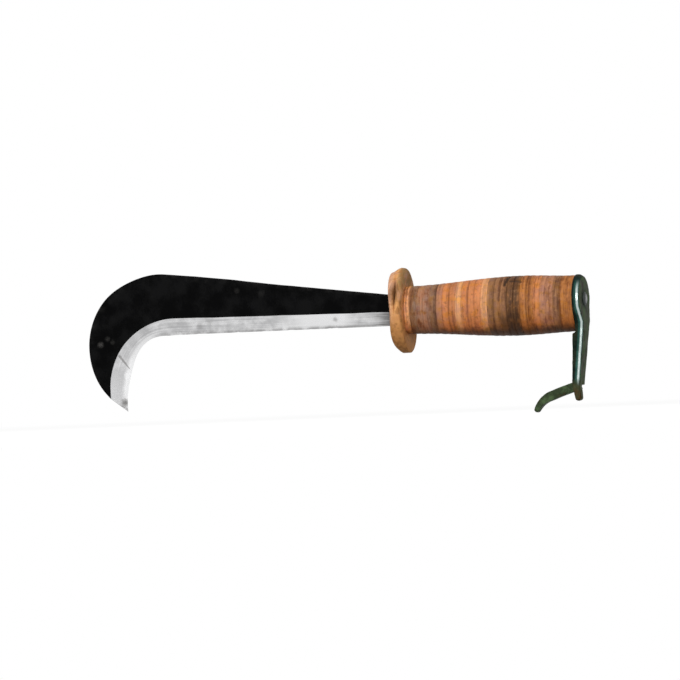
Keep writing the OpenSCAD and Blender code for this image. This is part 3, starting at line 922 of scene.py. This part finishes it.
def blade_rings(blade):
    """Rings of points round the blade with how far along and across the bevel each lies, and its arris."""
    stations = blade_stations(blade)
    reach = sum((b[2] - a[2]).length for a, b in zip(stations, stations[1:]))
    nicks = edge_nicks(blade, reach)
    rings, marks, along = [], [], 0.0
    for i, (spine, bevel, edge, half) in enumerate(stations):
        along += (edge - stations[i - 1][2]).length if i else 0.0
        fade = min(1.0, (len(stations) - 1 - i) / (2 * TIP_STEPS), i / TIP_STEPS)
        inward = (bevel - spine).normalized() if (bevel - spine).length > MM else Vector((0, 0))
        spine = spine + inward * fade * blade.forging * (1 + waves((along, 0, 3), SPINE_WAVES))
        bevel = bevel + inward * fade * BEVEL_FORGING * blade.forging * waves((along, 5, 0), BEVEL_WAVES)
        bite = sum(deep * math.exp(-((along - at) / wide) ** 2) for at, deep, wide in nicks)
        edge = edge + (bevel - edge).normalized() * bite * fade if fade else edge
        side = half_section(blade, spine, bevel, edge, half)
        ring, mark = [], []
        for sign in (1, -1):
            columns = range(len(side)) if sign > 0 else range(len(side) - 2, 0, -1)
            for k in columns:
                point, y = side[k]
                if 1 <= k < BEVEL_COLUMN:
                    y = y - fade * blade.forging * CHEEK_FORGING * cheek_dent(point, sign)
                ring.append((point.x, sign * y, point.y))
                share = clamp((k - BEVEL_COLUMN) / BEVEL_STEPS)
                mark.append((along, share, float(1 <= k <= ARRIS_STEPS + 1)))
        rings.append(ring)
        marks.append(mark)
    return rings, marks


# Length of the tang's round end inside the leather, height of the tang at the guard, and its squareness
NECK_SET_IN = 3 * MM
TANG_ROOT_Z = 0.5 * MM
TANG_SQUARE = 9
TANG_END_X = GRIP_BACK_X - NECK_SET_IN
# Core that ties the tang into the blade: rise above the tang, half its width and height, squareness
CORE_RISE, CORE_HALF_Y, CORE_HALF_Z, CORE_SQUARE = 3 * MM, 1.4 * MM, 2.5 * MM, 4
# Places of the core's two ends, and of the tang's and the neck's first ring
CORE_FROM_X, CORE_TO_X = GUARD_X - 6 * MM, GUARD_X + 0.1 * MM
TANG_FROM_X, NECK_FROM_X = GUARD_X + 0.15 * MM, TANG_END_X + 0.05 * MM
TANG_STEPS, HEAD_STEPS = 24, 8
# Smallest share of the head's radius at its top, and how full the head is between
HEAD_TOP, HEAD_FULL = 0.02, 0.8
# Sizes of the dents in the head's sides and top, and their depths in radii and in mm
SIDE_DENTS, TOP_DENTS = 3.2 * MM, 2.4 * MM
SIDE_DEPTH, TOP_DEPTH = 0.05, 0.16


def tang_middle(x):
    """Height of the tang's centre line at x, and the share of the tang's length."""
    share = clamp((x - GUARD_X) / (TANG_END_X - GUARD_X))
    return mix(TANG_ROOT_Z, SWIVEL.z, share), share


def tang_ring(blade, x, gap=0.0, count=40):
    """Section of the tang at x, grown by gap."""
    middle, share = tang_middle(x)
    half_z = mix(blade.tang_root, blade.tang_end, share) / 2 + gap
    return oval_ring(x, middle, blade.tang / 2 + gap, half_z, TANG_SQUARE, count)


def tang_rings(blade):
    """Rings from inside the blade along the tang to its round end, and then those of the peened head."""
    head_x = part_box("blade")[1].x - blade.head_height
    core_z = tang_middle(GUARD_X)[0] + CORE_RISE
    rings = [oval_ring(x, core_z, CORE_HALF_Y, CORE_HALF_Z, CORE_SQUARE) for x in (CORE_FROM_X, CORE_TO_X)]
    rings += [tang_ring(blade, mix(TANG_FROM_X, TANG_END_X, i / TANG_STEPS)) for i in range(TANG_STEPS + 1)]
    rings += [round_ring(x, blade.neck_radius) for x in (NECK_FROM_X, head_x)]
    head = []
    for i in range(HEAD_STEPS + 1):
        turn = math.pi / 2 * i / HEAD_STEPS
        radius = blade.head_radius * max(HEAD_TOP, math.cos(turn) ** HEAD_FULL)
        ring = round_ring(head_x + blade.head_height * math.sin(turn), radius)
        head.append([dent_head(point, head_x) for point in ring])
    return rings, head


def dent_head(point, head_x):
    """Moves a point of the peened head as hammer blows would, and never toward the plate."""
    x, y, z = point
    pull = 1 - SIDE_DEPTH * (1 + waves((x, y, z), SIDE_DENTS))
    lower = TOP_DEPTH * (1 + waves((y, z, 9), TOP_DENTS)) * min(1.0, (x - head_x) / MM)
    return x - lower * MM, y * pull, SWIVEL.z + (z - SWIVEL.z) * pull


class BILLHOOK_OT_blade(Operator):
    """Blade with its ground bevel, the tang inside the leather and the peened head"""

    bl_idname = "billhook.blade"
    bl_label = "Blade"

    def execute(self, context):
        blade, looks = context.scene.billhook_blade, context.scene.billhook_finishes
        bm, layers = marked_mesh("along", "across", "arris")
        self.forge(bm, layers, *blade_rings(blade))
        self.add_tang(bm, *tang_rings(blade))
        mesh_piece("blade", bm, TOOL, forge_black(looks), ground_bevel(looks), peened_steel(looks))
        return {"FINISHED"}

    def forge(self, bm, layers, rings, marks):
        """Skins the blade, with a sharp bevel line and a sharp edge on both sides."""
        verts, faces = skin(bm, rings)
        store(layers, verts, marks)
        count = len(rings[0])
        tip_from = len(rings) - 1 - TIP_STEPS
        for row, strip in enumerate(faces):
            for column, face in enumerate(strip):
                ground = min(column, count - 1 - column) >= BEVEL_COLUMN or row >= tip_from
                face.material_index = BEVEL_SLOT if ground else SCALE_SLOT
        for column in (BEVEL_COLUMN, EDGE_COLUMN, count - EDGE_COLUMN, count - BEVEL_COLUMN):
            for low, high in zip(verts, verts[1:]):
                bm.edges.get((low[column], high[column])).smooth = False
        bm.faces.new(verts[0])
        bmesh.ops.remove_doubles(bm, verts=bm.verts, dist=WELD)

    def add_tang(self, bm, tang, head):
        """Skins the tang with its head as one closed solid that runs into the blade."""
        verts, faces = skin(bm, tang + head)
        bm.faces.new(verts[0])
        top = bm.faces.new(verts[-1])
        for face in (top, *[face for strip in faces[len(tang) - 1:] for face in strip]):
            face.material_index = HEAD_SLOT


# Points round a disc or plate, steps of a rim's rounding, and where across a disc's edge its crown is drawn
RIM_COUNT = 96
QUARTER = [math.pi / 2 * i / 4 for i in range(5)]
CROWN_SHARES = (0.1, 0.25, 0.5, 0.75, 0.9)
# Share of the seam's dirt at the top of a rim, and the share of a disc's edge over which it fades out
RIM_TOP_DIRT, DIRT_SPREAD = 0.45, 0.25


def leather_disc(blade, leather, flats, rims, outer, middle=None):
    """Closed bmesh of one leather disc on the tang, from its slot over the front, the rim and the back.

    flats are the places of its two faces round the slot, rims(turn) the two roundings as rounded_rim takes
    them, outer(turn, x, inset) a point of the rim, and middle(turn, x) one of a face between slot and rim."""
    slots = [tang_ring(blade, x, leather.slot_gap, RIM_COUNT) for x in flats]
    columns, marks = [], []
    for k in range(RIM_COUNT):
        turn = math.tau * k / RIM_COUNT
        front, rear = [rounded_rim(*rim) for rim in rims(turn)]
        steps = [*front, *crown_steps(leather, front, rear), *reversed(rear)]
        faces = [[Vector(slot[k])] for slot in slots]
        if middle:
            for face, x in zip(faces, flats):
                face.append(middle(turn, x))
        near, far = faces
        columns.append([*near, *[outer(turn, x, inset) for x, inset, _ in steps], *reversed(far)])
        dirt = [mark for _, _, mark in steps]
        marks.append([dirt[0]] * len(near) + dirt + [dirt[-1]] * len(far))
    bm, layers = marked_mesh("seam")
    verts, _ = skin(bm, list(zip(*columns)), closed=True)
    store(layers, verts, [[(mark,) for mark in row] for row in zip(*marks)])
    return bm


def rounded_rim(x, depth, inset, dirt):
    """Steps of one rim from its face to its top, as (x, inset, dirt); depth is below 0 on a rear face."""
    turns = [(1 - math.cos(a), 1 - math.sin(a)) for a in QUARTER]
    return [(x + depth * deep, inset * low, dirt * mix(RIM_TOP_DIRT, 1, low)) for deep, low in turns]


def crown_steps(leather, front, rear):
    """Steps over a disc's crowned edge from the front rim to the rear one, with the dirt of both seams."""
    steps = []
    for share in CROWN_SHARES:
        from_front = front[0][2] * max(0.0, 1 - share / DIRT_SPREAD)
        from_rear = rear[0][2] * max(0.0, 1 - (1 - share) / DIRT_SPREAD)
        rise = -4 * leather.crown * share * (1 - share)
        steps.append((mix(front[-1][0], rear[-1][0], share), rise, RIM_TOP_DIRT * (from_front + from_rear)))
    return steps


# Direction round the guard in which its two discs part most, up on the near side, and how far they part
GROOVE_TURN, GROOVE_SPREAD = math.radians(154), math.radians(31)
# Width of the groove for each metre of its depth, and the seam's dirt where the discs stay together
GROOVE_WIDTH, SEAM_DIRT = 1.8, 0.04
# Depth and width of the outer rims at the guard's sides, in those at its top and foot
SIDE_RIM_DEPTH, SIDE_RIM_WIDTH = 0.75, 2.6
# How quickly the swelling of the lobes and the cuts of top and foot fade round the guard
SWELL_POWER, TOP_POWER, LOW_POWER = 10, 8, 5
# Waves of the guard's outline: how close they are round it and along X, and their height
GUARD_WAVES = (2, 60, 1.0), (7, 200, 0.4)


class BILLHOOK_OT_guard(Operator):
    """Two oval leather discs in front of the grip"""

    bl_idname = "billhook.guard"
    bl_label = "Guard"

    def execute(self, context):
        scene = context.scene
        blade, leather = scene.billhook_blade, scene.billhook_leather
        finish = guard_leather(scene.billhook_finishes)
        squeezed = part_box(WASHERS[0])[1] + Vector((0, 1, 1)) * leather.guard_margin
        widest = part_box("guard_front")[1]
        back_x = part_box(WASHERS[0])[0].x

        def middle(turn, x):
            return Vector((x, squeezed.y * math.cos(turn), squeezed.z * math.sin(turn)))

        def outer(turn, x, inset):
            c, s = math.cos(turn), math.sin(turn)
            lumps = 0.0
            for near, along, high in GUARD_WAVES:
                lumps += high * waves((near * c, near * s, along * x), 1.0)
            ahead = clamp((x - GUARD_SEAM_X) / (GUARD_X - GUARD_SEAM_X))
            above, below = max(0.0, s), max(0.0, -s)
            cut = ahead * (leather.top_cut * above ** TOP_POWER + leather.low_cut * below ** LOW_POWER)
            reach = leather.guard_wander * (lumps - 1.0) - inset - cut
            return Vector((x, (widest.y + reach) * c, (widest.z + reach) * s))

        def swell(turn):
            """How far a lobe stands out past the squeezed middle; least at the near and far sides."""
            return GUARD_SWELL * (1 - math.cos(turn) ** SWELL_POWER)

        def seam_rim(turn, deepest):
            """Rounding, and dirt with painted shade, where the discs meet: most where they have come apart."""
            aside = (turn - GROOVE_TURN) / GROOVE_SPREAD
            parted = max(0.0, 1 - aside * aside) ** 2
            depth = mix(leather.seam_rim, deepest, parted)
            return depth, depth * mix(1.0, GROOVE_WIDTH, parted), mix(SEAM_DIRT, 1.0, parted)

        def free_rim(turn, way):
            """Rounding of an outer rim: deepest low on the front and high on the back, wider at the sides."""
            depth = leather.guard_rim * (1 + way * leather.guard_slant * math.sin(turn))
            side = abs(math.cos(turn))
            return depth * mix(1.0, SIDE_RIM_DEPTH, side), depth * mix(1.0, SIDE_RIM_WIDTH, side)

        def front_rims(turn):
            depth, inset = free_rim(turn, -1)
            join, join_inset, dirt = seam_rim(turn, leather.groove)
            return (GUARD_X - swell(turn), depth, inset, 0.0), (GUARD_SEAM_X, -join, join_inset, dirt)

        def rear_rims(turn):
            depth, inset = free_rim(turn, 1)
            join, join_inset, dirt = seam_rim(turn, leather.rear_groove)
            return (GUARD_SEAM_X, join, join_inset, dirt), (back_x + swell(turn), -depth, inset, 0.0)

        discs = (
            ("guard_front", (GUARD_X, GUARD_SEAM_X), front_rims),
            ("guard_rear", (GUARD_SEAM_X, back_x), rear_rims),
        )
        for node, flats, rims in discs:
            mesh_piece(node, leather_disc(blade, leather, flats, rims, outer, middle), TOOL, finish)
        return {"FINISHED"}


GRIP_SEED = 26
# Ranges of a washer's brightness, of the root of a seam's dirt, and of a rim's rounding
WASHER_LIGHT, SEAM_ROOT, RIM_RANGE = (0.9, 1.1), (0.15, 1.0), (0.7, 1.3)
# Seams of the grip that are full of dirt, counted from the guard
DEEP_SEAMS = 5, 16, 17, 19, 24
# Seams among the orange washers that are rubbed nearly flush, and the most dirt in them
SOFT_SEAMS, SOFT_SEAM = range(6, 14), 0.3
# How close the waves of the grip's surface are round it, and their length on X
GRIP_WAVES, GRIP_WAVE_X = 3, 4 * MM
# Old cuts in the top of the grip: X in mm and turn in degrees at both ends, half width and depth in mm
GOUGES = (12.0, 133, 14.4, 97, 1.3, 1.3), (15.6, 124, 24.0, 126, 0.8, 0.5)
# Radius at which the turn round the grip is measured as a length, and depth at which a cut is full of dirt
GOUGE_RADIUS, GOUGE_DIRTY = 18 * MM, 0.4 * MM
# Dye over a seam: share of a washer that it leaves alone, share over which it spreads, size of its tongues
DYE_FREE, DYE_SPREAD, DYE_TONGUES = 0.1, 0.4, 5 * MM


def grip_half(x):
    """Half the height of the grip at x, drawn smoothly through the middles of the CAD washers."""
    place = (x - WASHER_MIDDLES[0]) / WASHER_PITCH
    first = min(len(WASHERS) - 2, max(0, math.floor(place)))
    return mix(WASHER_HALVES[first], WASHER_HALVES[first + 1], place - first)


def gouge(turn, x):
    """Depth of the old cuts in the top of the grip at a place on it."""
    deepest = 0.0
    for from_x, from_turn, to_x, to_turn, wide, deep in GOUGES:
        start = Vector((from_x * MM, GOUGE_RADIUS * math.radians(from_turn)))
        run = Vector((to_x * MM, GOUGE_RADIUS * math.radians(to_turn))) - start
        at = Vector((x, GOUGE_RADIUS * turn)) - start
        share = clamp(at.dot(run) / run.length_squared)
        aside = (at - run * share).length / (wide * MM)
        deepest = max(deepest, deep * MM * max(0.0, 1 - aside * aside))
    return deepest


def seam_tone(tones, i, at):
    """Tone of a washer at a point: dye and wear run over the seams to the next washer."""
    off_middle = (at.x - WASHER_MIDDLES[i]) / WASHER_PITCH
    beside = min(len(tones) - 1, max(0, i + (1 if off_middle > 0 else -1)))
    near_seam = max(0.0, abs(off_middle) - DYE_FREE) / DYE_SPREAD
    run = 0.5 + 0.9 * waves(at, DYE_TONGUES)
    return tones[i].lerp(tones[beside], 0.5 * near_seam * clamp(run))


class BILLHOOK_OT_grip(Operator):
    """Leather washers of the grip, each with its own tone"""

    bl_idname = "billhook.grip"
    bl_label = "Grip"

    def execute(self, context):
        scene = context.scene
        blade, leather, looks = scene.billhook_blade, scene.billhook_leather, scene.billhook_finishes
        finish = stacked_leather(looks)
        dice = random.Random(GRIP_SEED)
        tones = [dice.uniform(*WASHER_LIGHT) * Vector(getattr(looks, SLOT_OF[name])) for name in WASHERS]
        seams = self.seam_dirt(dice)

        def outer(turn, x, inset):
            c, s = math.cos(turn), math.sin(turn)
            half = grip_half(x)
            drift = leather.wander * waves((GRIP_WAVES * c, GRIP_WAVES * s, x / GRIP_WAVE_X), 1.0)
            reach = drift - inset - gouge(turn, x)
            return Vector((x, (half * leather.oval + reach) * c, (half + reach) * s))

        for i, name in enumerate(WASHERS):
            low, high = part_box(name)
            soft = leather.rim * dice.uniform(*RIM_RANGE)
            rims = (low.x, soft, soft, seams[i]), (high.x, -soft, soft, seams[i + 1])
            bm = leather_disc(blade, leather, (low.x, high.x), lambda turn: rims, outer)
            self.paint(mesh_piece(name, bm, TOOL, finish).data, leather, tones, i)
        return {"FINISHED"}

    def seam_dirt(self, dice):
        """Dirt in each seam, from the guard's to the hook's."""
        seams = [dice.uniform(*SEAM_ROOT) ** 2 for _ in range(len(WASHERS) + 1)]
        for i in DEEP_SEAMS:
            seams[i] = 1.0
        for i in SOFT_SEAMS:
            seams[i] = min(SOFT_SEAM, seams[i])
        return seams

    def paint(self, mesh, leather, tones, i):
        """Keeps a washer's tone and the old cuts in its mesh."""
        mesh.attributes.new("tone", "FLOAT_COLOR", "POINT")
        mesh.attributes.new("cut", "FLOAT", "POINT")
        marks = mesh.attributes["tone"].data, mesh.attributes["cut"].data
        for vert, tone, cut in zip(mesh.vertices, *marks):
            tone.color = (*seam_tone(tones, i, vert.co), 1.0)
            turn = math.atan2(vert.co.z, vert.co.y / leather.oval)
            cut.value = min(1.0, gouge(turn, vert.co.x) / GOUGE_DIRTY)


# Turns at which the rounded end of tongue or heel is drawn, and how full that end is across
ROUND_END = [math.radians(a) for a in (20, 40, 55, 70, 80)]
END_FULL = 0.6
ARC_STEPS = 10
# Heights at which the arm rises from the plate, its sides leave the rim and it has its full thickness
ARM_TOP_Z, FLANK_Z, ARM_FULL_Z = -3 * MM, -7 * MM, -13 * MM
ARM_LEVELS = 20
ARM_STEP_HEIGHT = 2 * MM
# The visible step starts this much higher, close under the leather, and is shorter
ARM_STEP_RISE, ARM_STEP_SLOPE = 1.1 * MM, 1 * MM
# Width of the chamfer on the outer face for each metre of its depth
CHAMFER_ASIDE = 0.65
# Depth below the outer face, in depths of the chamfer, from which a point lies on the side or the inner face
CHAMFER_LOW = -1.3
# How far the heel starts above the tongue's root and in front of it
HEEL_OVERLAP, HEEL_SET_BACK = 4 * MM, 0.5 * MM
# Shares of the heel's thickness from its root to its rounded end
HEEL_WIDTHS = (0.9, 1, 1, 0.96, 0.84)
# The hammer keeps off the leather: distances from the plate's inner face where its waves start and are full
HAMMER_FROM, HAMMER_FULL = 1 * MM, 2 * MM
# The hammer keeps off the peened head too, up to this many radii of the head
HEAD_CLEAR = 1.3
# Hammer's waves as (share, size), and how far they lie below the surface
BLOWS = (0.7, 8 * MM), (0.3, 3 * MM)
BLOW_DEPTH = 0.3
# Passes that blend the forging, and the share of its faces that is kept
SMOOTHING = {"factor": 0.5, "iterations": 4}
KEPT_FACES = 0.4


def band_rings(path, y0, y1):
    """Rings along a path of (X and Z, heading, width), between two places on Y, with a round far end."""
    point, heading, width = path[-1]
    ahead = heading_vector(heading)
    rounded = [(point + ahead * width / 2 * math.sin(a), heading, width * math.cos(a)) for a in ROUND_END]
    narrowed = [1.0] * len(path) + [math.cos(a) ** END_FULL for a in ROUND_END]
    rings = []
    for (point, heading, width), share in zip((*path, *rounded), narrowed):
        aside = Vector((-math.sin(heading), math.cos(heading))) * width / 2
        middle, half = (y0 + y1) / 2, (y1 - y0) / 2 * share
        near, far = middle - half, middle + half
        corners = ((point + aside, near), (point - aside, near), (point - aside, far), (point + aside, far))
        rings.append([(at.x, y, at.y) for at, y in corners])
    return rings


def arc_path(start, heading, radius, reach, widths):
    """Path along an arc that bends to the left, as band_rings takes it."""
    path = []
    for i in range(ARC_STEPS + 1):
        share = i / ARC_STEPS
        turned = heading + reach / radius * share
        x = start.x + radius * (math.sin(turned) - math.sin(heading))
        z = start.y - radius * (math.cos(turned) - math.cos(heading))
        path.append((Vector((x, z)), turned, mix(*widths, share)))
    return path


def arm_low_x(hook):
    """Place of the arm's inner face at the tongue's root."""
    leaning = hook.arm_drop - hook.arm_bend - ARM_STEP_HEIGHT
    return PLATE_X - hook.arm_step - leaning * math.tan(hook.arm_lean)


def flank(hook, z, half):
    """Half the width at a height, where the plate's rim runs smoothly into the sides of the arm."""
    low = min(max(z, FLANK_Z), 0) - SWIVEL.z
    rim = math.sqrt(hook.plate_radius ** 2 - low ** 2)
    reach = 2 * (rim - half) * rim / -low
    return mix(half, rim, clamp(1 - (FLANK_Z - z) / reach) ** 2)


def arm_section(hook, z):
    """Place of the arm's outer face and half the arm's width at a height."""
    share = max(0.0, (z - ARM_FULL_Z) / (-hook.arm_drop - ARM_FULL_Z))
    half = flank(hook, z, mix(hook.arm_top_width, hook.arm_low_width, share) / 2)
    outer_x = mix(PLATE_X + hook.arm_top, arm_low_x(hook) + hook.arm_low, share)
    rise = clamp((ARM_TOP_Z - z) / (ARM_TOP_Z - ARM_FULL_Z))
    return mix(PLATE_X + hook.plate, outer_x, rise), half


def across_chamfer(hook, at):
    """Place of a point across the chamfer of plate or arm: -1 at the side, 1 at the outer face."""
    outer_x, half = arm_section(hook, at.z)
    beyond = abs(at.y) - half
    if at.z > FLANK_Z:
        beyond = Vector((at.y, at.z - SWIVEL.z)).length - hook.plate_radius
    depth = (at.x - outer_x) / hook.chamfer
    return depth if depth < CHAMFER_LOW else depth - beyond / CHAMFER_ASIDE / hook.chamfer


def plate_rings(hook, blade):
    """Rings of the round plate from its bore over the inner face, the rim and the chamfer."""
    back_x = PLATE_X + hook.plate
    bore, rim = blade.neck_radius + hook.bore_gap, hook.plate_radius
    sizes = (
        (PLATE_X, bore),
        (PLATE_X, rim),
        (back_x - hook.chamfer, rim),
        (back_x, rim - CHAMFER_ASIDE * hook.chamfer),
        (back_x, bore),
    )
    return [round_ring(x, radius, RIM_COUNT) for x, radius in sizes]


def arm_rings(hook):
    """Rings of the arm from the plate down to the slit."""
    step_z = ARM_STEP_RISE - hook.arm_bend
    levels = [(mix(ARM_TOP_Z, step_z, i / ARM_LEVELS), PLATE_X) for i in range(ARM_LEVELS + 1)]
    levels.append((step_z - ARM_STEP_SLOPE, PLATE_X - hook.arm_step))
    levels.append((-hook.arm_drop, arm_low_x(hook)))
    rings = []
    for z, inner_x in levels:
        outer_x, half = arm_section(hook, z)
        chamfered = outer_x, CHAMFER_ASIDE * hook.chamfer - half, z
        near = [(inner_x, -half, z), (outer_x - hook.chamfer, -half, z), chamfered]
        rings.append(near + [(x, -y, z) for x, y, z in reversed(near)])
    return rings


def tongue_path(hook, root):
    """Path of the tongue: a gently curved part and a curled tip."""
    even, tapered = (hook.tongue, hook.tongue), (hook.tongue, hook.tongue_tip)
    path = arc_path(root, hook.tongue_heading, hook.tongue_radius, hook.tongue_length, even)
    bend, heading, _ = path[-1]
    return path + arc_path(bend, heading, hook.curl_radius, hook.curl_length, tapered)[1:]


def heel_path(hook, root):
    """Straight path of the heel, which starts inside the arm."""
    start = root + Vector((-HEEL_SET_BACK, HEEL_OVERLAP))
    end = start + heading_vector(hook.heel_heading) * (hook.heel_length + HEEL_OVERLAP - hook.heel / 2)
    last = len(HEEL_WIDTHS) - 1
    return [
        (mix(start, end, i / last), hook.heel_heading, hook.heel * width)
        for i, width in enumerate(HEEL_WIDTHS)
    ]


def hook_blank(hook, blade):
    """Plate, arm, tongue and heel as closed solids that run into each other."""
    bm = bmesh.new()
    skin(bm, plate_rings(hook, blade), closed=True)
    box_rings(bm, arm_rings(hook))
    root = Vector((arm_low_x(hook) + hook.arm_low / 2, -hook.arm_drop))
    box_rings(bm, band_rings(tongue_path(hook, root), hook.slit / 2, hook.arm_low_width / 2))
    box_rings(bm, band_rings(heel_path(hook, root), -hook.arm_low_width / 2, -hook.slit / 2))
    bmesh.ops.recalc_face_normals(bm, faces=bm.faces)
    return bm


def worked(bm, modifiers):
    """Mesh that comes out of a bmesh after modifiers, given as (type, settings)."""
    mesh = bpy.data.meshes.new("blank")
    bm.to_mesh(mesh)
    bm.free()
    blank = bpy.data.objects.new("blank", mesh)
    bpy.context.scene.collection.objects.link(blank)
    for kind, settings in modifiers:
        modifier = blank.modifiers.new(kind, kind)
        for name, value in settings.items():
            setattr(modifier, name, value)
    ready = blank.evaluated_get(bpy.context.evaluated_depsgraph_get())
    out = bmesh.new()
    out.from_mesh(ready.to_mesh())
    ready.to_mesh_clear()
    bpy.data.objects.remove(blank)
    bpy.data.meshes.remove(mesh)
    return out


def hammer(bm, hook, blade):
    """Moves the forging's points as hammer blows would, clear of the leather and the peened head."""
    bm.normal_update()
    for vert in bm.verts:
        clear = clamp((vert.co.x - PLATE_X - HAMMER_FROM) / HAMMER_FULL)
        off_axis = Vector((vert.co.y, vert.co.z - SWIVEL.z)).length
        clear = clear if off_axis > HEAD_CLEAR * blade.head_radius else 0.0
        clear = 1.0 if vert.co.z < -hook.arm_bend - ARM_STEP_HEIGHT else clear
        blows = sum(share * waves(vert.co, size) for share, size in BLOWS)
        vert.co += vert.normal * hook.hammer * clear * (blows - BLOW_DEPTH)


class BILLHOOK_OT_belt_hook(Operator):
    """Belt hook that turns on the tang's end, with its slit into tongue and heel"""

    bl_idname = "billhook.belt_hook"
    bl_label = "Belt hook"

    def execute(self, context):
        scene = context.scene
        hook, blade = scene.billhook_hook, scene.billhook_blade
        blended = ("REMESH", {"mode": "VOXEL", "voxel_size": hook.grain}), ("SMOOTH", SMOOTHING)
        forged = worked(hook_blank(hook, blade), blended)
        hammer(forged, hook, blade)
        forged = worked(forged, [("DECIMATE", {"ratio": KEPT_FACES})])
        chamfer = forged.verts.layers.float.new("chamfer")
        for vert in forged.verts:
            vert[chamfer] = across_chamfer(hook, vert.co)
        mesh_piece("belt_hook", forged, HOOK, hook_enamel(scene.billhook_finishes))
        return {"FINISHED"}


# Sides of the two lamps, and their places seen from the object's middle
KEY_SIDES, KEY_PLACE = (1.2, 1.2), Vector((0.0, -1.74, 0.94))
STRIP_SIDES, STRIP_PLACE = (0.3, 1.0), Vector((1.44, -0.98, 0.12))
WHITE = 1, 1, 1, 1


def soft_lamp(name, strength, sides, place, target):
    """Area lamp of two sides at a place, turned to a target."""
    lamp = bpy.data.lights.new(name, "AREA")
    lamp.shape = "RECTANGLE"
    lamp.energy = strength
    lamp.size, lamp.size_y = sides
    obj = bpy.data.objects.new(name, lamp)
    obj.location = place
    obj.rotation_euler = (target - place).to_track_quat("-Z", "Y").to_euler()
    bpy.context.scene.collection.objects.link(obj)


class BILLHOOK_OT_stage(Operator):
    """Pale floor, white surroundings, soft lamps and the camera"""

    bl_idname = "billhook.stage"
    bl_label = "Stage"

    def execute(self, context):
        scene, studio = context.scene, context.scene.billhook_studio
        scene.view_settings.view_transform = "Standard"
        self.lay_floor(studio)
        self.light(scene, studio)
        self.aim(scene, studio)
        return {"FINISHED"}

    def lay_floor(self, studio):
        bm = bmesh.new()
        bmesh.ops.create_grid(bm, x_segments=1, y_segments=1, size=studio.floor_size / 2)
        mesh = bpy.data.meshes.new("floor")
        bm.to_mesh(mesh)
        bm.free()
        mesh.materials.append(studio_floor(studio))
        floor = bpy.data.objects.new("floor", mesh)
        floor.location.z = CAD_BOX[0].z - studio.floor_gap
        bpy.context.scene.collection.objects.link(floor)
        floor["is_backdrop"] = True

    def light(self, scene, studio):
        scene.world = bpy.data.worlds.new("studio")
        f = Finish(scene.world)
        sky = f.node("ShaderNodeBackground", inputs={"Color": WHITE, "Strength": studio.sky})
        white = f.node("ShaderNodeBackground", inputs={"Color": WHITE, "Strength": 1.0})
        shown = f.node("ShaderNodeMixShader", inputs={0: backdrop_rays(f), 1: sky, 2: white})
        f.node("ShaderNodeOutputWorld", inputs={"Surface": shown})
        middle = (CAD_BOX[0] + CAD_BOX[1]) / 2
        soft_lamp("key", studio.key, KEY_SIDES, middle + KEY_PLACE, middle)
        soft_lamp("strip", studio.strip, STRIP_SIDES, middle + STRIP_PLACE, middle)

    def aim(self, scene, studio):
        """Sets the camera so that the grip's middle falls on its pixel of the picture."""
        a, r = studio.azimuth, studio.roll
        back = Vector((math.sin(a), -math.cos(a), 0))
        level, upright = Vector((math.cos(a), math.sin(a), 0)), Vector((0, 0, 1))
        right = level * math.cos(r) - upright * math.sin(r)
        up = level * math.sin(r) + upright * math.cos(r)
        aside = (PICTURE / 2 - studio.grip_column) * studio.pixel
        above = (studio.grip_row - PICTURE / 2) * studio.pixel
        lens = bpy.data.cameras.new("camera")
        lens.sensor_width = studio.sensor / MM
        lens.lens = lens.sensor_width * studio.distance / (PICTURE * studio.pixel)
        camera = bpy.data.objects.new("camera", lens)
        turned = Matrix((right, up, back)).transposed().to_4x4()
        place = right * aside + up * above + back * studio.distance
        camera.matrix_world = Matrix.Translation(place) @ turned
        scene.collection.objects.link(camera)
        scene.camera = camera


GROUPS = {
    "billhook_blade": BladeSizes,
    "billhook_leather": LeatherSizes,
    "billhook_hook": HookSizes,
    "billhook_finishes": Finishes,
    "billhook_studio": Studio,
}
OPERATORS = (
    BILLHOOK_OT_stage,
    BILLHOOK_OT_blade,
    BILLHOOK_OT_guard,
    BILLHOOK_OT_grip,
    BILLHOOK_OT_belt_hook,
)


class BILLHOOK_PT_sidebar(Panel):
    """Lists the billhook's pieces and their sizes"""

    bl_idname = "BILLHOOK_PT_sidebar"
    bl_label = "Billhook"
    bl_space_type = "VIEW_3D"
    bl_region_type = "UI"
    bl_category = "Billhook"

    def draw(self, context):
        for operator in OPERATORS:
            self.layout.operator(operator.bl_idname)
        for name, group in GROUPS.items():
            box = self.layout.box()
            box.label(text=group.__doc__)
            for prop in group.__annotations__:
                box.prop(getattr(context.scene, name), prop)


CLASSES = (*GROUPS.values(), *OPERATORS, BILLHOOK_PT_sidebar)


def register():
    for kind in CLASSES:
        bpy.utils.register_class(kind)
    for name, group in GROUPS.items():
        setattr(bpy.types.Scene, name, PointerProperty(type=group))


def unregister():
    for name in GROUPS:
        delattr(bpy.types.Scene, name)
    for kind in reversed(CLASSES):
        bpy.utils.unregister_class(kind)


def main():
    register()
    bpy.ops.billhook.stage()
    bpy.ops.billhook.blade()
    bpy.ops.billhook.guard()
    bpy.ops.billhook.grip()
    bpy.ops.billhook.belt_hook()
    boxes = {"cad": CAD_BOX, "visual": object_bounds()}
    {name: [list(corner) for corner in box] for name, box in boxes.items()}


if __name__ == "__main__":
    main()
